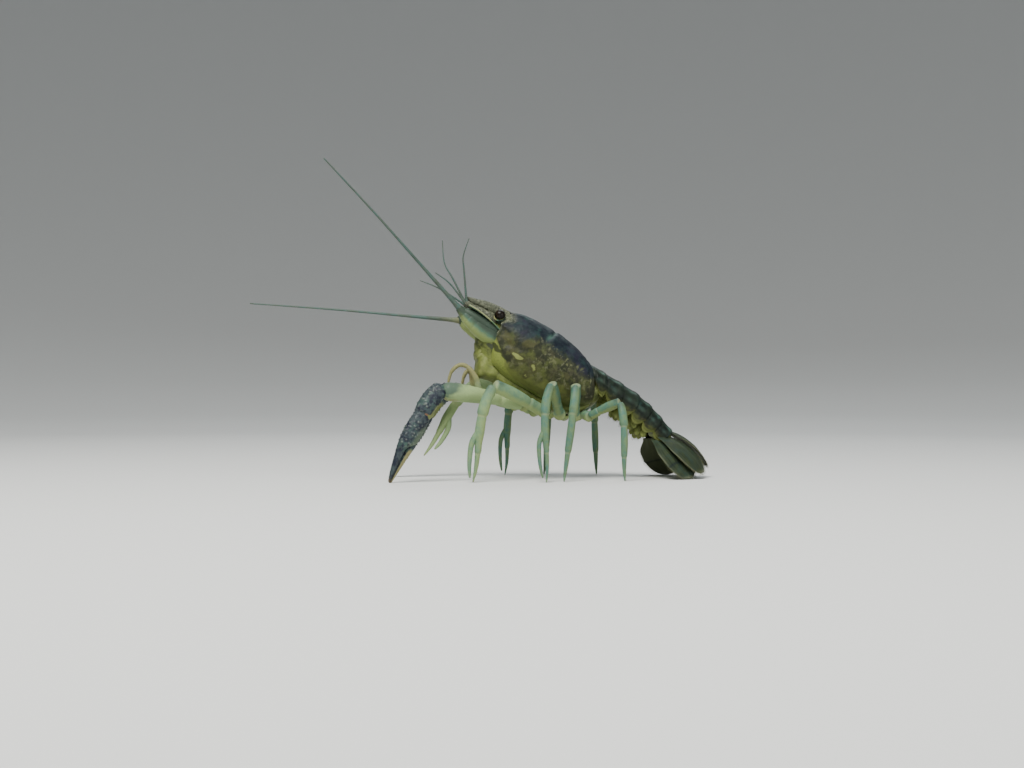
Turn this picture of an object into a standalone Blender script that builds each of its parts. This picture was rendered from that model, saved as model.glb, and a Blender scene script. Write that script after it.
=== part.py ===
"""Everglades crayfish, life size, standing on a floor with its front half raised.

The animal faces -X, its left side faces -Y and the floor is Z = 0. Lengths are metres.
"""

import math
from collections import namedtuple

import bmesh
import bpy
from mathutils import Vector

MM = 0.001

# Body as a whole
PITCH = math.radians(33.0)
REAR_TOP = Vector((30.8, 0.0, 29.9)) * MM
ORIGIN_SHIFT = Vector((-2.85, 0.0, 0.0)) * MM
GAP = 0.3 * MM
SIDE = Vector((0.0, 1.0, 0.0))
DOWN = Vector((0.0, 0.0, -1.0))
AFT = Vector((math.cos(PITCH), 0.0, -math.sin(PITCH)))
DORSAL = Vector((math.sin(PITCH), 0.0, math.cos(PITCH)))

# Carapace: millimetres along the back from its rear edge, with the height of the back,
# the half width, the height where it is widest, the lower margin's height and half width,
# and how far the section leans aft per millimetre of depth
Station = namedtuple("Station", "along top half_width wide low low_half lean")
CARAPACE = (
    Station(0.0, 0.0, 6.7, -4.4, -8.0, 4.2, math.tan(PITCH)),
    Station(-1.3, 0.7, 7.4, -5.2, -9.9, 4.5, 0.58),
    Station(-4.2, 1.55, 8.1, -6.1, -12.5, 4.7, 0.42),
    Station(-8.0, 2.05, 8.4, -6.9, -14.7, 4.8, 0.18),
    Station(-11.9, 2.2, 8.3, -7.0, -15.5, 4.8, -0.26),
    Station(-13.0, 1.7, 7.9, -7.0, -15.4, 4.7, -0.4),
    Station(-14.1, 2.05, 8.1, -6.6, -15.2, 4.7, -0.38),
    Station(-17.5, 1.85, 7.6, -6.2, -14.7, 4.5, -0.28),
    Station(-21.0, 1.35, 6.7, -5.8, -14.0, 4.2, -0.15),
    Station(-24.0, 0.55, 5.6, -5.5, -13.2, 3.8, -0.05),
    Station(-25.5, 0.2, 5.0, -5.3, -12.6, 3.4, 0.0),
)
ROSTRUM = (
    Station(-25.9, 0.1, 2.6, -1.6, -3.3, 1.5, 0.0),
    Station(-28.4, -0.15, 2.2, -1.8, -3.2, 1.3, 0.0),
    Station(-32.0, -0.9, 1.9, -2.3, -3.5, 1.1, 0.0),
    Station(-34.3, -1.9, 1.45, -2.9, -3.8, 0.8, 0.0),
    Station(-36.8, -3.0, 0.3, -3.3, -3.6, 0.15, 0.0),
)
# Mouth region in front of the carapace's front wall: along, half width, top and bottom
FACE = (
    (-26.2, 3.3, -12.95, -15.6),
    (-26.35, 3.3, -11.6, -15.4),
    (-26.9, 2.8, -11.9, -14.9),
    (-27.3, 1.6, -12.4, -14.2),
)
FACE_SIDES = 10
# Depth of the sternum below the carapace's lower margin, one for each carapace station
STERNUM_DEPTHS = (1.7, 1.8, 2.0, 2.1, 2.2, 2.3, 2.6, 3.7, 5.2, 4.3, 3.2)
CARAPACE_UPPER_STEPS = 14
CARAPACE_LOWER_STEPS = 4
FRONT_WALL = -26.2

# Pleon: six segments, each with its length along the back, its pitch, and at its rear
# face the pitch of that face's normal, the half width, the depth with the pleura and the
# share of that depth at which the belly lies
Segment = namedtuple("Segment", "length pitch face half_width depth belly")
PLEON = (
    Segment(3.7, 31.5, 9.0, 6.5, 7.4, 0.66),
    Segment(5.4, 31.0, 19.0, 6.6, 7.6, 0.66),
    Segment(5.2, 33.0, 28.0, 6.4, 7.4, 0.66),
    Segment(4.7, 40.0, 37.0, 6.0, 7.0, 0.66),
    Segment(4.4, 47.0, 45.0, 5.6, 6.5, 0.66),
    Segment(4.6, 50.0, 50.0, 5.0, 5.6, 0.94),
)
PLEON_FRONT_HALF_WIDTH = 6.4
PLEON_FRONT_DEPTH = 7.2
TERGITE_STEPS = 12
# Along each segment: share of its length, swell and how far the pleura hang
TERGITE_PROFILE = ((0.0, 0.965, 0.62), (0.22, 1.0, 0.9), (0.7, 1.02, 1.0), (1.0, 1.0, 0.7))

# Swimmerets on segments two to five
SWIMMERET_LENGTH = 5.2 * MM
SWIMMERET_HALF_WIDTH = 0.62 * MM
SWIMMERET_HALF_THICKNESS = 0.32 * MM
SWIMMERET_ACROSS = 2.6 * MM
SWIMMERET_SUNK = 0.9 * MM

# Head appendages
EYE_RADIUS = 1.35 * MM
EYESTALK_RADIUS = 0.85 * MM
ANTENNA_ROOT_RADIUS = 0.62 * MM
ANTENNA_TIP_RADIUS = 0.16 * MM
ANTENNULE_ROOT_RADIUS = 0.3 * MM
ANTENNULE_TIP_RADIUS = 0.13 * MM
PEDUNCLE_RADII = (1.9, 2.0, 1.7, 1.3, 0.85)
MAXILLIPED_RADII = (
    1.1, 1.15, 1.1, 1.0, 0.9, 0.8, 0.72, 0.66, 0.62, 0.58, 0.52, 0.44, 0.3,
)
SCALE_HALF_WIDTH = 1.5 * MM
SCALE_THICKNESS = 0.55 * MM

# Claws
MERUS_RADIUS = 2.35 * MM
PALM_HALF_WIDTH = 2.75 * MM
PALM_HALF_THICKNESS = 2.0 * MM
CHELA_HINGE = 0.46
ARM_BOW = 0.4 * MM
WRIST_BOW = 0.3 * MM
CHELA_BOW = -0.5 * MM
# Each profile: share of the segment's length, and its thickness as a share of the largest
ARM_PROFILE = (
    (-0.12, 0.62), (0.03, 0.66), (0.24, 0.68), (0.3, 0.64),
    (0.55, 0.86), (0.85, 1.0), (1.0, 0.98), (1.16, 0.9),
)
WRIST_PROFILE = ((-0.35, 0.8), (0.0, 0.95), (0.3, 1.12), (0.65, 1.1), (1.0, 0.85), (1.3, 0.7))
# Share of the length, width and thickness of the palm and closed fingers
CHELA_PROFILE = (
    (-0.08, 0.55, 0.7), (0.02, 0.66, 0.8), (0.12, 0.86, 0.95), (0.26, 1.0, 1.0),
    (0.4, 0.98, 0.95), (0.5, 0.86, 0.82), (0.62, 0.7, 0.64), (0.78, 0.5, 0.46),
    (0.92, 0.3, 0.28), (1.0, 0.17, 0.16), (1.03, 0.1, 0.1),
)

# Legs two to five
LEG_RADIUS = (1.32 * MM, 1.3 * MM, 1.22 * MM, 1.15 * MM)
COXA_RADIUS = (1.75 * MM, 1.55 * MM, 1.5 * MM, 1.45 * MM, 1.35 * MM)
LEG_BOW = 0.3 * MM
# Share of the upper part's length from hip to knee, and its thickness
THIGH_PROFILE = (
    (-0.14, 0.85), (0.03, 0.9), (0.27, 0.88), (0.33, 0.8),
    (0.62, 1.05), (0.92, 0.98), (1.0, 0.92), (1.12, 0.85),
)
# Share of the lower part's length from knee to foot, how far it bows, and its thickness
SHIN_PROFILE = (
    (-0.07, 0.0, 0.72), (0.0, 0.0, 0.76), (0.14, 0.045, 0.84), (0.29, 0.06, 0.82),
    (0.33, 0.06, 0.68), (0.52, 0.045, 0.74), (0.68, 0.02, 0.62), (0.72, 0.015, 0.54),
    (0.86, 0.0, 0.42), (1.0, 0.0, 0.24), (1.02, 0.0, 0.2),
)
PINCER_RADII = (0.42, 0.46, 0.32, 0.16)
HIP_X = (11.8, 17.0, 21.3, 25.4, 29.3)
HIP_Z = (19.4, 17.6, 16.9, 16.4, 16.3)
HIP_Y = 7.2
COXA_SWEEP = (-0.55, -0.45, -0.25, 0.0, 0.3)
COXA_OUTWARD = 0.9
COXA_DROP = -0.12
COXA_SUNK = 4.6 * MM

# Tail fan
TELSON_LENGTH = 13.4 * MM
FAN_THICKNESS = 0.6 * MM
TELSON_THICKNESS = 0.78 * MM
FAN_RIDGE = 0.22 * MM
BLADE_ROWS = 9
BLADE_COLUMNS = 12
BLADE_ROOT_SHARE = 0.3
TELSON_HALF_WIDTH = 4.0 * MM
TELSON_HEADING = (0.79, 0.0, -0.62)
TELSON_RISE = 0.8 * MM
TELSON_DEPTH = 1.5 * MM
UROPOD_RISE = 0.6 * MM
# How far the middle of each fan blade's length bulges out
FAN_ARCH = 0.9 * MM
# Each uropod blade: how far below the back and beside the middle it is rooted, its reach
# from there, the direction of its width, its half width and its rays across the width
Blade = namedtuple("Blade", "depth across reach sweep half_width rays")
UROPODS = {
    "inner": Blade(3.6, -3.6, (9.3, -5.4, -9.0), (0.32, 0.8, 0.34), 4.2, (0.0,)),
    "outer": Blade(4.8, -2.9, (6.2, -8.0, -9.9), (0.86, 0.46, -0.02), 4.6, (0.0, -0.5)),
}


def vec(x, y, z):
    return Vector((x, y, z)) * MM


def body_point(along, across, height):
    return REAR_TOP + (AFT * along + SIDE * across + DORSAL * height) * MM


def make_material(name, colour, roughness):
    material = bpy.data.materials.new(name)
    material.use_nodes = True
    shader = material.node_tree.nodes["Principled BSDF"]
    shader.inputs["Base Color"].default_value = (*colour, 1.0)
    shader.inputs["Roughness"].default_value = roughness
    shader.inputs["Metallic"].default_value = 0.0
    return material


def clear_scene():
    for obj in list(bpy.data.objects):
        bpy.data.objects.remove(obj, do_unlink=True)


def finish_mesh(name, bm, material):
    """Turns a closed bmesh into a named object of the model."""
    bmesh.ops.remove_doubles(bm, verts=bm.verts, dist=0.001 * MM)
    bmesh.ops.recalc_face_normals(bm, faces=bm.faces)
    mesh = bpy.data.meshes.new(name)
    bm.to_mesh(mesh)
    bm.free()
    mesh.materials.append(material)
    mesh.shade_smooth()
    mesh.set_sharp_from_angle(angle=math.radians(40.0))
    obj = bpy.data.objects.new(name, mesh)
    obj.parent = ROOT
    MODEL.objects.link(obj)
    return obj


def skin(bm, rings):
    """Joins rings of equally many points into one closed body with flat ends."""
    rows = [[bm.verts.new(point) for point in ring] for ring in rings]
    count = len(rows[0])
    for near, far in zip(rows, rows[1:]):
        for i in range(count):
            j = (i + 1) % count
            bm.faces.new((near[i], near[j], far[j], far[i]))
    bm.faces.new(list(reversed(rows[0])))
    bm.faces.new(rows[-1])
    return bm


def oval(centre, across, up, half_width, half_height, sides):
    points = []
    for i in range(sides):
        turn = 2.0 * math.pi * i / sides
        offset = across * (half_width * math.cos(turn)) + up * (half_height * math.sin(turn))
        points.append(centre + offset)
    return points


def trim(bm, point, normal):
    """Cuts away what lies on the normal's side of a plane and closes the cut."""
    everything = bm.verts[:] + bm.edges[:] + bm.faces[:]
    cut = bmesh.ops.bisect_plane(
        bm, geom=everything, dist=1e-7, plane_co=point, plane_no=normal, clear_outer=True
    )
    edges = [item for item in cut["geom_cut"] if isinstance(item, bmesh.types.BMEdge)]
    bmesh.ops.holes_fill(bm, edges=edges, sides=0)
    return bm


def curve_points(knots, steps):
    """Points of a smooth curve through the knots, steps to each span."""
    points = []
    last = len(knots) - 1
    for i in range(last):
        before = knots[max(i - 1, 0)]
        start = knots[i]
        end = knots[i + 1]
        after = knots[min(i + 2, last)]
        for step in range(steps):
            t = step / steps
            blend = (
                start * 2.0
                + (end - before) * t
                + (before * 2.0 - start * 5.0 + end * 4.0 - after) * t * t
                + (start * 3.0 - before - end * 3.0 + after) * t * t * t
            )
            points.append(blend * 0.5)
    points.append(knots[last].copy())
    return points


def limb(bm, points, half_widths, half_heights, flat, sides=10):
    """A tapering body along a path, with its wide way along the flat direction."""
    rings = []
    for i, point in enumerate(points):
        before = points[max(i - 1, 0)]
        after = points[min(i + 1, len(points) - 1)]
        ahead = (after - before).normalized()
        across = (flat - ahead * flat.dot(ahead)).normalized()
        up = ahead.cross(across)
        rings.append(oval(point, across, up, half_widths[i], half_heights[i], sides))
    return skin(bm, rings)


def join(name, pieces, material):
    """Fuses closed pieces into one body and keeps its largest surface."""
    first = finish_mesh(name, pieces[0], material)
    group = bpy.data.collections.new(name + "_pieces")
    extras = []
    for number, piece in enumerate(pieces[1:]):
        extra = finish_mesh("{}_piece_{}".format(name, number), piece, material)
        MODEL.objects.unlink(extra)
        group.objects.link(extra)
        extras.append(extra)
    union = first.modifiers.new("union", "BOOLEAN")
    union.operation = "UNION"
    union.operand_type = "COLLECTION"
    union.collection = group
    union.solver = "EXACT"
    apply_modifiers(first)
    for extra in extras:
        bpy.data.objects.remove(extra, do_unlink=True)
    bpy.data.collections.remove(group)
    keep_largest(first)
    return first


def apply_modifiers(obj):
    graph = bpy.context.evaluated_depsgraph_get()
    mesh = bpy.data.meshes.new_from_object(obj.evaluated_get(graph))
    obj.modifiers.clear()
    obj.data = mesh


def keep_largest(obj):
    """Removes every closed surface of a mesh but the one with the largest extent."""
    bm = bmesh.new()
    bm.from_mesh(obj.data)
    bmesh.ops.remove_doubles(bm, verts=bm.verts, dist=0.001 * MM)
    left = set(bm.verts)
    groups = []
    while left:
        stack = [left.pop()]
        group = set(stack)
        while stack:
            for edge in stack.pop().link_edges:
                for vert in edge.verts:
                    if vert in left:
                        left.remove(vert)
                        group.add(vert)
                        stack.append(vert)
        groups.append(group)
    groups.sort(key=len, reverse=True)
    loose = [vert for group in groups[1:] for vert in group]
    bmesh.ops.delete(bm, geom=loose, context="VERTS")
    bm.to_mesh(obj.data)
    bm.free()


def shell_ring(station, shrink=1.0):
    """One section of the carapace, from its right side over the back to its left."""
    flat = []
    for i in range(CARAPACE_UPPER_STEPS + 1):
        turn = math.pi * i / CARAPACE_UPPER_STEPS
        height = station.wide + (station.top - station.wide) * math.sin(turn)
        flat.append((station.half_width * math.cos(turn), height))
    tuck = station.half_width - station.low_half
    drop = station.wide - station.low
    for i in range(1, CARAPACE_LOWER_STEPS + 1):
        turn = 0.5 * math.pi * i / CARAPACE_LOWER_STEPS
        across = station.low_half + tuck * math.cos(turn)
        flat.append((-across, station.wide - drop * math.sin(turn)))
    for i in range(CARAPACE_LOWER_STEPS, 0, -1):
        turn = 0.5 * math.pi * i / CARAPACE_LOWER_STEPS
        across = station.low_half + tuck * math.cos(turn)
        flat.append((across, station.wide - drop * math.sin(turn)))
    points = []
    for across, height in flat:
        along = station.along - station.lean * height
        points.append(body_point(along, across * shrink, height))
    return points


def build_carapace():
    rings = [shell_ring(station) for station in CARAPACE + ROSTRUM]
    finish_mesh("carapace", skin(bmesh.new(), rings), SHELL)


def low_line(station):
    """Where the carapace's underside lies at one section."""
    return station.along - station.lean * station.low, station.low


def coxa_direction(number, side):
    """A coxa points outward and down, the front ones forward and the rear ones aft."""
    return Vector((COXA_SWEEP[number], side * COXA_OUTWARD, COXA_DROP)).normalized()


def hip(number, side):
    return vec(HIP_X[number], side * HIP_Y, HIP_Z[number])


def build_underside(leg_starts):
    """The sternum under the carapace, with the mouth region and the ten coxae."""
    rings = []
    for station, depth in zip(CARAPACE, STERNUM_DEPTHS):
        along, low = low_line(station)
        high = low - GAP / MM
        wide = station.low_half - 0.3
        section = (
            (wide, high),
            (wide * 0.5, high),
            (-wide * 0.5, high),
            (-wide, high),
            (-wide * 1.02, high - depth * 0.45),
            (-wide * 0.8, high - depth * 0.85),
            (-wide * 0.4, high - depth),
            (wide * 0.4, high - depth),
            (wide * 0.8, high - depth * 0.85),
            (wide * 1.02, high - depth * 0.45),
        )
        rings.append([body_point(along, across, height) for across, height in section])
    for along, wide, high, deep in FACE:
        section = []
        for i in range(FACE_SIDES):
            turn = 2.0 * math.pi * i / FACE_SIDES + math.radians(45.0)
            height = (high + deep) / 2.0 + (high - deep) / 2.0 * math.sin(turn)
            section.append((wide * math.cos(turn), height))
        rings.append([body_point(along, across, height) for across, height in section])
    pieces = [skin(bmesh.new(), rings)]
    for (number, side), start in leg_starts.items():
        end = hip(number, side)
        direction = coxa_direction(number, side)
        radius = COXA_RADIUS[number]
        root = end - direction * COXA_SUNK
        beyond = end + direction * (1.5 * MM)
        bm = limb(
            bmesh.new(),
            [root, end - direction * (1.6 * MM), beyond],
            [radius * 0.85, radius, radius * 0.88],
            [radius * 0.85, radius, radius * 0.88],
            Vector((1.0, 0.0, 0.0)),
            sides=8,
        )
        normal = (direction + start).normalized()
        trim(bm, end - normal * (GAP / 2.0), normal)
        pieces.append(bm)
    join("thorax_underside", pieces, UNDERSIDE)


def pleon_ring(top, face, half_width, depth, skirt, belly_share):
    """One section of the pleon in a plane whose normal is pitched down by face."""
    down = Vector((-math.sin(face), 0.0, -math.cos(face)))
    wide = depth * 0.52
    flat = []
    for i in range(TERGITE_STEPS + 1):
        turn = math.pi * i / TERGITE_STEPS
        flat.append((half_width * math.cos(turn), wide - wide * math.sin(turn) ** 0.85))
    edge = wide + (depth - wide) * skirt
    belly = depth * belly_share
    flat.append((-half_width * 0.97, edge - (edge - wide) * 0.25))
    flat.append((-half_width * 0.9, edge))
    flat.append((-half_width * 0.78, edge - (edge - belly) * 0.4))
    flat.append((-half_width * 0.66, belly))
    flat.append((half_width * 0.66, belly))
    flat.append((half_width * 0.78, edge - (edge - belly) * 0.4))
    flat.append((half_width * 0.9, edge))
    flat.append((half_width * 0.97, edge - (edge - wide) * 0.25))
    return [top + SIDE * (across * MM) + down * (low * MM) for across, low in flat]


def pleon_planes():
    """The top point, face pitch, half width, depth and belly where the segments meet."""
    top = REAR_TOP + Vector((GAP, 0.0, 0.0)) * 0.5
    planes = [(top, 0.0, PLEON_FRONT_HALF_WIDTH, PLEON_FRONT_DEPTH, PLEON[0].belly)]
    for segment in PLEON:
        pitch = math.radians(segment.pitch)
        step = Vector((math.cos(pitch), 0.0, -math.sin(pitch)))
        top = top + step * (segment.length * MM)
        face = math.radians(segment.face)
        planes.append((top, face, segment.half_width, segment.depth, segment.belly))
    return planes


def face_normal(face):
    return Vector((math.cos(face), 0.0, -math.sin(face)))


def swimmeret(root, down, aft, side, reach, spread):
    """One branch of a swimmeret, a flat blade that hangs a little aft and outward."""
    direction = (down + aft * 0.3 + SIDE * (side * spread)).normalized()
    start = root - direction * SWIMMERET_SUNK
    points = [start + direction * (reach * share) for share in (0.0, 0.35, 0.75, 1.0)]
    widths = [SWIMMERET_HALF_WIDTH * share for share in (0.8, 1.0, 0.95, 0.4)]
    heights = [SWIMMERET_HALF_THICKNESS * share for share in (1.0, 1.0, 0.8, 0.6)]
    return limb(bmesh.new(), points, widths, heights, Vector((1.0, 0.0, 0.4)), sides=6)


def build_pleon():
    planes = pleon_planes()
    for number, (front, back) in enumerate(zip(planes, planes[1:]), start=1):
        rings = []
        for share, swell, skirt in TERGITE_PROFILE:
            top = front[0].lerp(back[0], share)
            face = front[1] + (back[1] - front[1]) * share
            half_width = (front[2] + (back[2] - front[2]) * share) * swell
            depth = (front[3] + (back[3] - front[3]) * share) * swell
            if share == 0.0:
                top = top + face_normal(face) * (GAP / 2.0)
            if share == 1.0:
                top = top - face_normal(face) * (GAP / 2.0)
            belly = front[4] + (back[4] - front[4]) * share
            rings.append(pleon_ring(top, face, half_width, depth, skirt, belly))
        pieces = [skin(bmesh.new(), rings)]
        if 2 <= number <= 5:
            face = (front[1] + back[1]) * 0.5
            down = Vector((-math.sin(face), 0.0, -math.cos(face)))
            aft = face_normal(face)
            middle = front[0].lerp(back[0], 0.42) + down * (front[3] * 0.64 * MM)
            for side in (-1, 1):
                root = middle + SIDE * (side * SWIMMERET_ACROSS)
                pieces.append(swimmeret(root, down, aft, side, SWIMMERET_LENGTH, -0.08))
                pieces.append(swimmeret(root, down, aft, side, SWIMMERET_LENGTH * 0.85, 0.3))
        if len(pieces) > 1:
            join("pleon_{}".format(number), pieces, SHELL)
        else:
            finish_mesh("pleon_{}".format(number), pieces[0], SHELL)
    return planes[-1]


def blade(root, tip, across, half_width, cup, ridges, thickness, arch=0.0):
    """A fan blade: a thin curved plate with rays raised on it, alike on both faces."""
    ahead = (tip - root).normalized()
    across = (across - ahead * across.dot(ahead)).normalized()
    normal = ahead.cross(across)
    length = (tip - root).length
    top = []
    bottom = []
    for i in range(BLADE_ROWS + 1):
        share = i / BLADE_ROWS
        opening = math.sin(math.pi * min(share, 0.5)) ** 1.5
        widen = BLADE_ROOT_SHARE + (1.0 - BLADE_ROOT_SHARE) * opening
        taper = math.sqrt(max(0.0, 1.0 - (max(0.0, share - 0.6) / 0.44) ** 2))
        upper = []
        lower = []
        for j in range(BLADE_COLUMNS + 1):
            side = 2.0 * j / BLADE_COLUMNS - 1.0
            ridge = sum(max(0.0, 1.0 - abs(side - place) * 5.0) for place in ridges)
            half = thickness / 2.0 + FAN_RIDGE * ridge * (1.0 - 0.7 * share)
            rise = cup * (1.0 - side * side) * math.sin(math.pi * (0.12 + 0.7 * share))
            rise += arch * 4.0 * share * (1.0 - share)
            point = root + ahead * (length * share)
            point = point + across * (half_width * widen * taper * side) + normal * rise
            upper.append(point + normal * half)
            lower.append(point - normal * half)
        top.append(upper)
        bottom.append(lower)
    return closed_plate(top, bottom)


def closed_plate(top, bottom):
    """Closes two like grids of points into a plate, with both split the same way."""
    bm = bmesh.new()
    upper = [[bm.verts.new(point) for point in row] for row in top]
    lower = [[bm.verts.new(point) for point in row] for row in bottom]
    rows = len(upper) - 1
    columns = len(upper[0]) - 1
    for i in range(rows):
        for j in range(columns):
            for grid in (upper, lower):
                bm.faces.new((grid[i][j], grid[i + 1][j], grid[i + 1][j + 1]))
                bm.faces.new((grid[i][j], grid[i + 1][j + 1], grid[i][j + 1]))
    for i in range(rows):
        for j in (0, columns):
            bm.faces.new((upper[i][j], upper[i + 1][j], lower[i + 1][j], lower[i][j]))
    for j in range(columns):
        for i in (0, rows):
            bm.faces.new((upper[i][j], upper[i][j + 1], lower[i][j + 1], lower[i][j]))
    return bm


def build_tail_fan(last):
    """The telson and four uropod blades, rooted on the last segment's rear face."""
    top, face = last[:2]
    normal = face_normal(face)
    down = Vector((-math.sin(face), 0.0, -math.cos(face)))
    wall = top + normal * (GAP / 2.0)
    root = top + down * TELSON_DEPTH - normal * MM
    tip = root + Vector(TELSON_HEADING).normalized() * (TELSON_LENGTH + MM)
    rays = (-0.45, 0.45)
    telson = blade(
        root, tip, SIDE, TELSON_HALF_WIDTH, TELSON_RISE, rays, TELSON_THICKNESS, FAN_ARCH
    )
    trim(telson, wall, -normal)
    finish_mesh("telson", telson, FAN)
    for name, shape in UROPODS.items():
        root = top + down * (shape.depth * MM) + SIDE * (shape.across * MM) - normal * MM
        tip = root + vec(*shape.reach)
        for label in ("left", "right"):
            bm = blade(
                root,
                tip,
                Vector(shape.sweep),
                shape.half_width * MM,
                UROPOD_RISE,
                shape.rays,
                FAN_THICKNESS,
                FAN_ARCH,
            )
            trim(bm, wall, -normal)
            trim(bm, Vector(), DOWN)
            if label == "right":
                bmesh.ops.scale(bm, vec=(1.0, -1.0, 1.0), verts=bm.verts)
            finish_mesh("uropod_{}_{}".format(name, label), bm, FAN)


def build_eyes():
    for side, label in ((-1, "left"), (1, "right")):
        centre = body_point(-27.6, side * 4.05, -2.5)
        root = body_point(FRONT_WALL, side * 2.9, -4.6)
        axis = (centre - root).normalized()
        meet = centre - axis * (EYE_RADIUS * 0.72)
        eye = bmesh.new()
        bmesh.ops.create_uvsphere(eye, u_segments=14, v_segments=9, radius=EYE_RADIUS)
        bmesh.ops.translate(eye, verts=eye.verts, vec=centre)
        trim(eye, meet + axis * (GAP / 2.0), -axis)
        finish_mesh("eye_" + label, eye, EYE)
        stalk = limb(
            bmesh.new(),
            [root - axis * MM, meet - axis * (GAP / 2.0)],
            [EYESTALK_RADIUS * 0.9, EYESTALK_RADIUS],
            [EYESTALK_RADIUS * 0.9, EYESTALK_RADIUS],
            SIDE,
        )
        trim(stalk, body_point(FRONT_WALL, 0.0, 0.0), AFT)
        finish_mesh("eyestalk_" + label, stalk, LIMB)


def feeler(name, knots, root_radius, tip_radius, steps):
    """A tapering feeler as a bevelled curve, made into a mesh with welded caps."""
    points = curve_points(knots, steps)
    curve = bpy.data.curves.new(name + "_curve", "CURVE")
    curve.dimensions = "3D"
    curve.bevel_depth = 1.0
    curve.bevel_resolution = 2
    curve.use_fill_caps = True
    spline = curve.splines.new("POLY")
    spline.points.add(len(points) - 1)
    for i, (slot, point) in enumerate(zip(spline.points, points)):
        slot.co = (*point, 1.0)
        slot.radius = root_radius + (tip_radius - root_radius) * i / (len(points) - 1)
    holder = bpy.data.objects.new(name + "_curve", curve)
    MODEL.objects.link(holder)
    graph = bpy.context.evaluated_depsgraph_get()
    mesh = bpy.data.meshes.new_from_object(holder.evaluated_get(graph))
    bm = bmesh.new()
    bm.from_mesh(mesh)
    bpy.data.objects.remove(holder, do_unlink=True)
    bmesh.ops.remove_doubles(bm, verts=bm.verts, dist=0.001 * MM)
    return bm


def build_antennae():
    """Peduncle, scale and flagellum of both antennae."""
    left = (vec(-16.4, -7.0, 57.0), vec(-27.2, -10.5, 68.2), vec(-39.6, -14.0, 80.6))
    right = (vec(-18.7, 7.0, 42.7), vec(-35.7, 11.5, 44.3), vec(-57.0, 16.5, 45.9))
    ends = {-1: body_point(-37.4, -3.5, -7.0), 1: body_point(-35.0, 3.4, -9.1)}
    for side, label, route in ((-1, "left", left), (1, "right", right)):
        end = ends[side]
        root = body_point(FRONT_WALL + 1.0, side * 3.2, -8.9)
        away = (route[0] - end).normalized()
        path = [
            root,
            body_point(-28.6, side * 3.5, -9.1),
            body_point(-31.4, side * 3.6, -8.8).lerp(end, 0.2),
            body_point(-33.6, side * 3.5, -8.2).lerp(end, 0.4),
            end,
        ]
        sizes = [value * MM for value in PEDUNCLE_RADII]
        bm = limb(bmesh.new(), path, sizes, sizes, SIDE, sides=10)
        trim(bm, body_point(FRONT_WALL, 0.0, 0.0), AFT)
        heading = (end - path[3]).normalized()
        normal = (heading + away).normalized()
        trim(bm, end - normal * (GAP / 2.0), normal)
        finish_mesh("antenna_base_" + label, bm, LIMB)
        knots = [end - away * MM, *route]
        bm = feeler("antenna_" + label, knots, ANTENNA_ROOT_RADIUS, ANTENNA_TIP_RADIUS, 7)
        trim(bm, end + normal * (GAP / 2.0), -normal)
        finish_mesh("antenna_" + label, bm, FEELER)
        scale_root = body_point(FRONT_WALL + 0.6, side * 4.1, -6.1)
        scale_tip = body_point(-35.2, side * 4.6, -5.2)
        plate = blade(
            scale_root,
            scale_tip,
            SIDE * (side * 0.8) + DORSAL * 0.5,
            SCALE_HALF_WIDTH,
            0.2 * MM,
            (0.6,),
            SCALE_THICKNESS,
        )
        trim(plate, body_point(FRONT_WALL, 0.0, 0.0), AFT)
        finish_mesh("antennal_scale_" + label, plate, LIMB)


def build_antennules():
    """Each antennule: a short stalk under the rostrum with two whips."""
    routes = {
        -1: (
            (vec(-2.7, -1.7, 54.0), vec(-3.0, -2.4, 57.6), vec(-1.6, -3.2, 62.2)),
            (vec(-6.4, -1.6, 50.6), vec(-10.3, -2.0, 53.4)),
        ),
        1: (
            (vec(-5.2, 2.0, 52.3), vec(-7.2, 2.8, 56.2), vec(-7.6, 3.8, 62.2)),
            (vec(-8.6, 2.2, 49.5), vec(-13.6, 3.0, 51.6)),
        ),
    }
    for side, label in ((-1, "left"), (1, "right")):
        root = body_point(FRONT_WALL + 0.8, side * 1.15, -5.0)
        end = body_point(-36.6, side * 1.15, -4.75)
        sizes = [0.72 * MM, 0.72 * MM, 0.6 * MM, 0.62 * MM]
        path = [root.lerp(end, share) for share in (0.0, 0.5, 0.55, 1.0)]
        stalk = limb(bmesh.new(), path, sizes, sizes, SIDE, sides=8)
        trim(stalk, body_point(FRONT_WALL, 0.0, 0.0), AFT)
        pieces = [stalk]
        for number, route in enumerate(routes[side]):
            start = end + DORSAL * ((0.22 - 0.44 * number) * MM) + AFT * (0.5 * MM)
            name = "whip_{}_{}".format(label, number)
            knots = [start, *route]
            whip = feeler(name, knots, ANTENNULE_ROOT_RADIUS, ANTENNULE_TIP_RADIUS, 5)
            pieces.append(whip)
        join("antennule_" + label, pieces, FEELER)


def build_maxillipeds():
    """The third maxillipeds, arched forward from under the mouth, the left one higher."""
    arches = {
        -1: (
            vec(0.3, -2.8, 26.0),
            vec(-1.7, -2.6, 28.9),
            vec(-3.9, -2.3, 29.6),
            vec(-6.0, -2.0, 27.9),
            vec(-6.9, -1.9, 24.9),
        ),
        1: (
            vec(0.3, 2.8, 24.9),
            vec(-0.2, 2.6, 27.2),
            vec(-1.2, 2.4, 28.1),
            vec(-2.2, 2.2, 26.6),
            vec(-2.7, 2.1, 24.2),
        ),
    }
    for side, label in ((-1, "left"), (1, "right")):
        path = [vec(5.6, side * 2.4, 21.9), vec(1.6, side * 2.9, 22.3)]
        path.extend(arches[side])
        path = curve_points(path, 2)
        sizes = [value * MM for value in MAXILLIPED_RADII]
        heights = [value * 0.8 for value in sizes]
        bm = limb(bmesh.new(), path, heights, sizes, SIDE, sides=8)
        finish_mesh("maxilliped_" + label, bm, LIMB)


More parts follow.
